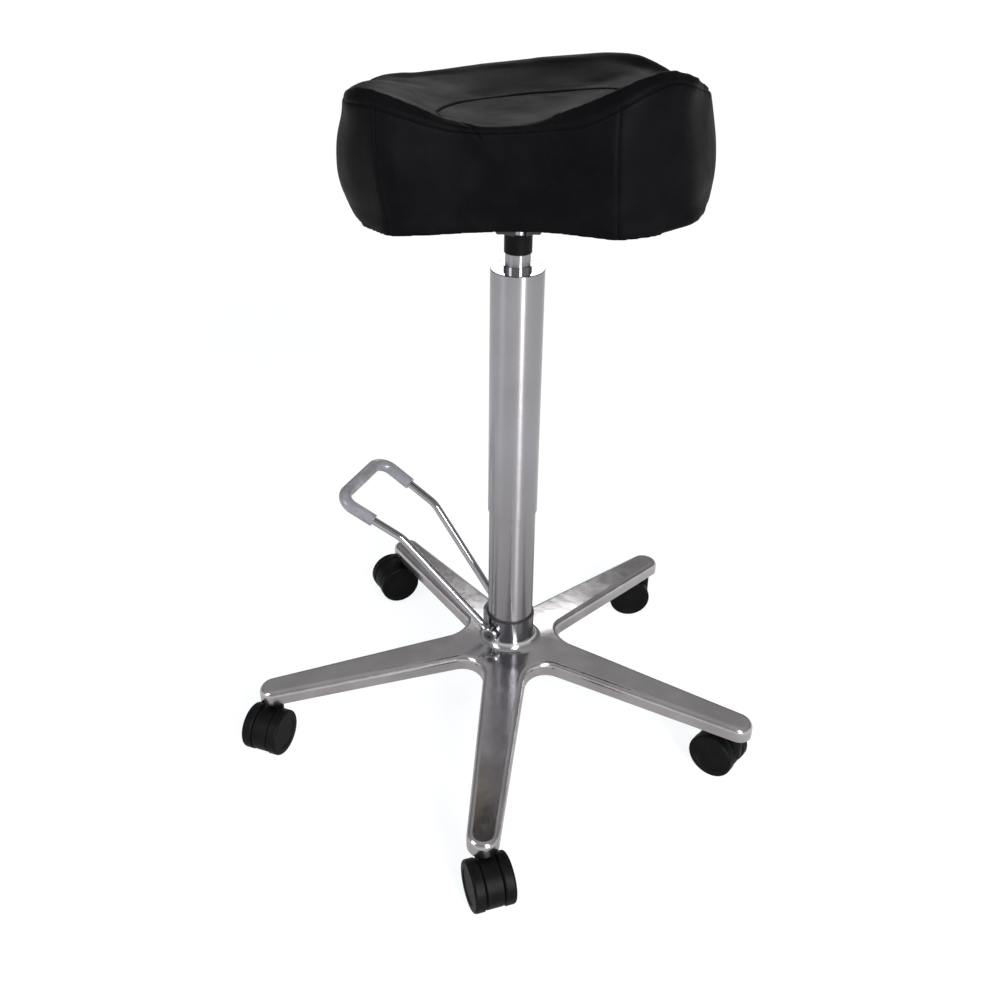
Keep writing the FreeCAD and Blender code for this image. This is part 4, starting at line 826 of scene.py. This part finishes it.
def in_insert(points):
    """Which points of a plan lie inside the sitting panel's outline."""
    outline = rounded(INSERT_CORNERS)
    x, y = points[:, 0], points[:, 1]
    inside = np.zeros(len(points), bool)
    for (x0, y0), (x1, y1) in zip(outline, np.roll(outline, -1, axis=0)):
        crosses = (y0 > y) != (y1 > y)
        with np.errstate(divide="ignore", invalid="ignore"):
            inside ^= crosses & (x < (x1 - x0) * (y - y0) / (y1 - y0) + x0)
    return inside


def mark_insert(mesh):
    """Gives the sitting panel's faces the second finish."""
    centres = read_triples(mesh.polygons, "center") / MM
    facing = read_triples(mesh.polygons, "normal")
    marked = in_insert(centres) & (centres[:, 2] > PANEL_LOWEST) & (facing[:, 2] > PANEL_FACING)
    mesh.polygons.foreach_set("material_index", marked.astype(np.int32))


# Stitching.

# One stitch, in mm: the pitch from stitch to stitch, its length and its thickness.
STITCH_PITCH = 5.5
STITCH_LENGTH = 3.6
THREAD = 0.5
# How high its middle stands over the skin, how much lower its ends are, how much thinner they are, and how
# much of its width its height is.
STITCH_LIFT = 0.22
STITCH_DIP = 0.50
STITCH_TAPER = 0.45
STITCH_FLATNESS = 0.8
STITCH_SIDES = 6
STITCH_STATIONS = 5
# The rows of stitches, in mm: how far below the top seam and proud of the wall they run, from where to where,
# and how far beside an upright seam.
ROW_BELOW = 2.8
ROW_PROUD = 0.8
FRONT_ROW_ENDS = (-111.0, 172.0)
BACK_ROW_ENDS = (-165.0, 172.0)
ROW_BESIDE = 1.6
# The points left out at both ends of an upright row.
ROW_TRIM = slice(2, -2)


def stitch_rings(bm, found, along, out):
    """The rings of one stitch, which dips into the skin at both its ends."""
    across = along.cross(out)
    rings = []
    for station in range(STITCH_STATIONS):
        u = 2.0 * station / (STITCH_STATIONS - 1) - 1.0
        lift = STITCH_LIFT - STITCH_DIP * u ** 4
        centre = found + along * u * STITCH_LENGTH * MM / 2 + out * lift * MM
        radius = THREAD / 2 * MM * (1.0 - STITCH_TAPER * u ** 4)
        ring = []
        for side in range(STITCH_SIDES):
            a = 2 * math.pi * side / STITCH_SIDES
            round_it = across * math.cos(a) + out * math.sin(a) * STITCH_FLATNESS
            ring.append(bm.verts.new(centre + round_it * radius))
        rings.append(ring)
    return rings


def stitches(name, lines, tree):
    """Short thread runs along the lines, as one piece."""
    bm = bmesh.new()
    for line in lines:
        spots = resampled(line, STITCH_PITCH * MM)
        for here, ahead in zip(spots, spots[1:]):
            along = Vector(ahead - here).normalized()
            middle = Vector(here) + along * STITCH_PITCH * MM / 2
            found, out, _, _ = tree.find_nearest(middle)
            along = (along - out * along.dot(out)).normalized()
            add_tube(bm, stitch_rings(bm, found, along, out))
    return linked(name, mesh_of(bm, name))


def stitch_lines(tree):
    """The rows of stitches under the top seam, front and back, and beside the upright seams."""
    below = (0.0, 0.0, ROW_BELOW)
    rows = [
        edge_line(FRONT, ROW_PROUD, FRONT_SEAM, *FRONT_ROW_ENDS) - below,
        edge_line(BACK, -ROW_PROUD, BACK_SEAM, *BACK_ROW_ENDS) - below,
        upright(FRONT, UPRIGHT_SEAMS[1] + ROW_BESIDE)[ROW_TRIM],
    ]
    rows += [upright(BACK, place + ROW_BESIDE)[ROW_TRIM] for place in UPRIGHT_SEAMS]
    return [laid(row, tree, FINE_PITCH) for row in rows]


# The pad.

def swollen_skin():
    """The pad's skin in small even faces, swelled between its seams."""
    item = linked("seat_pad", pad_mesh())
    remesh = item.modifiers.new("even", "REMESH")
    remesh.mode = "VOXEL"
    remesh.voxel_size = VOXEL
    apply_modifiers(item)
    smooth = item.modifiers.new("soft", "SMOOTH")
    smooth.iterations = SMOOTHINGS
    apply_modifiers(item)
    loop, walls, insert = seam_lines()
    tree = skin_tree(item.data)
    seams = [laid(line, tree, COARSE_PITCH) for line in [loop] + walls]
    seams.append(laid(insert, tree, COARSE_PITCH, falling=True))
    inflate(item, seams)
    subdivide = item.modifiers.new("fine", "SUBSURF")
    subdivide.levels = subdivide.render_levels = 1
    apply_modifiers(item)
    return item


def make_pad():
    """The pad and its stitching, with the seams pressed in and the cover tucked round the board."""
    item = swollen_skin()
    soften_ends(item.data)
    tree = skin_tree(item.data)
    loop, walls, insert = seam_lines()
    loop = laid(loop, tree, FINE_PITCH)
    walls = [laid(line, tree, FINE_PITCH) for line in walls]
    insert = laid(insert, tree, FINE_PITCH, falling=True)
    ridges = [edge_line(FRONT, RIM_WIDTH / 2, FRONT_CREST, *ends) for ends in RIDGE_ENDS]
    ridges = [laid(line, tree, FINE_PITCH) for line in ridges]
    refine(item.data, [loop, insert] + walls + ridges, SPLIT_REACH)
    refine(item.data, [loop, insert] + walls, SECOND_SPLIT_REACH)
    press_seams(item.data, loop, walls, insert, ridges, np.random.default_rng(PUCKER_SEED))
    fill_ends(item.data)
    settle(item.data)
    tuck_under(item.data)
    mark_insert(item.data)
    tree = skin_tree(item.data)
    sewn = stitches("pad_stitching", stitch_lines(tree), tree)
    for piece in (item, sewn):
        piece.data.transform(SEAT)
        shade_smooth(piece.data)
        piece.data.update()
    return item, sewn


# Floor. Lengths are in metres.

FLOOR_RADIUS = 12.0
WALL_TOP = 6.0
WALL_BEND = 1.5
BEND_COUNT = 9
FLOOR_STEPS = 64


def floor_mesh():
    """A round floor that runs up into a low wall."""
    bend = [
        (FLOOR_RADIUS - WALL_BEND + WALL_BEND * math.sin(a), WALL_BEND - WALL_BEND * math.cos(a))
        for a in np.linspace(0.0, math.pi / 2, BEND_COUNT)
    ]
    profile = [(0.0, 0.0)] + bend + [(FLOOR_RADIUS, WALL_TOP)]
    bm = bmesh.new()
    verts = [bm.verts.new((r, 0.0, z)) for r, z in profile]
    edges = [bm.edges.new(pair) for pair in zip(verts, verts[1:])]
    bmesh.ops.spin(
        bm, geom=verts + edges, axis=(0, 0, 1), cent=(0, 0, 0), angle=2 * math.pi, steps=FLOOR_STEPS,
        use_duplicate=False,
    )
    bmesh.ops.remove_doubles(bm, verts=bm.verts, dist=MM)
    return mesh_of(bm, "floor")


def paper():
    """Paper that takes a pale shadow, and glows nearly white to the camera and to what shines or is clear, with a
    painted shadow close to the stool in the glow that shining parts see.
    """
    finish = Finish("paper_floor")
    finish.set(base_color=(0.80, 0.81, 0.82, 1.0), roughness=0.9, specular_ior_level=0.0)
    path = finish.node("ShaderNodeLightPath").outputs
    seen = finish.maths("MAXIMUM", path["Is Camera Ray"], path["Is Glossy Ray"])
    seen = finish.maths("MAXIMUM", seen, path["Is Transmission Ray"])
    spot = finish.node("ShaderNodeSeparateXYZ")
    finish.feed(spot.inputs[0], finish.place)
    squares = [finish.maths("MULTIPLY", spot.outputs[axis], spot.outputs[axis]) for axis in "XY"]
    away = finish.maths("SQRT", finish.maths("ADD", *squares))
    # What shines sees the paper dimmer close to the stool, behind it and up the wall. The dimming close to the
    # stool is a painted shadow under the stool's base.
    near = finish.span(away, 0.30, 0.75, 0.52, 0.0)
    behind = finish.span(spot.outputs["Y"], 0.8, 3.5, 0.0, 0.45)
    raised = finish.span(spot.outputs["Z"], 0.1, 3.0, 0.0, 0.4)
    dimmer = finish.maths("ADD", finish.maths("ADD", near, behind), raised)
    level = finish.maths("SUBTRACT", 1.0, finish.maths("MULTIPLY", dimmer, path["Is Glossy Ray"]))
    # The far floor and the wall take less light, so they glow a little more where the camera sees them.
    far = finish.span(away, 1.5, 7.0, 0.0, 0.12)
    level = finish.maths("ADD", level, finish.maths("MULTIPLY", far, path["Is Camera Ray"]))
    sheet = finish.node("ShaderNodeBsdfDiffuse")
    sheet.inputs["Color"].default_value = (0.26, 0.22, 0.20, 1.0)
    glow = finish.node("ShaderNodeEmission")
    glow.inputs["Color"].default_value = (0.82, 0.86, 0.88, 1.0)
    finish.feed(glow.inputs["Strength"], level)
    white = finish.node("ShaderNodeAddShader")
    finish.feed(white.inputs[0], sheet.outputs[0])
    finish.feed(white.inputs[1], glow.outputs[0])
    both = finish.node("ShaderNodeMixShader")
    finish.feed(both.inputs[0], seen)
    finish.feed(both.inputs[1], finish.shader.outputs[0])
    finish.feed(both.inputs[2], white.outputs[0])
    finish.feed(finish.tree.nodes["Material Output"].inputs["Surface"], both.outputs[0])
    return finish.material


def make_stage():
    floor = linked("floor", floor_mesh())
    shade_smooth(floor.data)
    floor.data.materials.append(paper())


# Light.

# The lamps: each one's place, the point that it faces, its width, height, power and colour.
LAMPS = {
    "key": ((1.14, -2.34, 1.35), (0.0, 0.0, 0.5), 0.60, 2.1, 104.0, (1.0, 1.0, 1.0)),
    "fill": ((-2.6, -1.4, 1.9), (0.0, 0.0, 0.6), 1.2, 2.2, 34.0, (0.95, 0.95, 1.0)),
    "back": ((0.1, 3.4, 2.0), (0.0, 0.0, 0.7), 1.2, 0.5, 10.0, (1.0, 1.0, 1.0)),
}
# The sky's levels of grey along its ramp, its faint tint and its strength.
SKY_STOPS = [(0.0, 0.75), (0.40, 0.62), (0.55, 0.48), (0.72, 0.58), (0.90, 0.70), (1.0, 0.75)]
SKY_TINT = (1.0, 0.985, 0.99)
SKY_STRENGTH = 0.75


def lamp(name, place, target, width, height, power, colour):
    data = bpy.data.lights.new(name, "AREA")
    data.shape = "RECTANGLE"
    data.size, data.size_y = width, height
    data.energy = power
    data.color = colour
    item = linked(name, data)
    item.location = place
    item.rotation_euler = (Vector(target) - Vector(place)).to_track_quat("-Z", "Y").to_euler()


def make_sky():
    """A grey world that is darkest just above the level of the eye."""
    world = bpy.data.worlds.new("studio")
    bpy.context.scene.world = world
    world.use_nodes = True
    nodes, links = world.node_tree.nodes, world.node_tree.links
    sky = nodes["Background"]
    place = nodes.new("ShaderNodeTexCoord")
    split = nodes.new("ShaderNodeSeparateXYZ")
    ramp = nodes.new("ShaderNodeValToRGB")
    links.new(place.outputs["Generated"], split.inputs[0])
    links.new(split.outputs["Z"], ramp.inputs["Fac"])
    links.new(ramp.outputs["Color"], sky.inputs["Color"])
    elements = ramp.color_ramp.elements
    elements[0].position, elements[1].position = SKY_STOPS[0][0], SKY_STOPS[-1][0]
    for position, _ in SKY_STOPS[1:-1]:
        elements.new(position)
    for element, (_, level) in zip(elements, SKY_STOPS):
        element.color = (*(level * share for share in SKY_TINT), 1.0)
    sky.inputs["Strength"].default_value = SKY_STRENGTH


bpy.context.scene.view_settings.view_transform = "Standard"
make_camera()
FINISHES = slot_finishes()
dress_nodes(FINISHES)
make_stage()
make_sky()
for name, settings in LAMPS.items():
    lamp(name, *settings)

pad, sewn = make_pad()
pad.data.materials.append(FINISHES["black_leather"])
pad.data.materials.append(FINISHES["insert_leather"])
sewn.data.materials.append(FINISHES["thread"])
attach(pad, "seat")
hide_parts("seat_cushion")
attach(sewn, "seat")
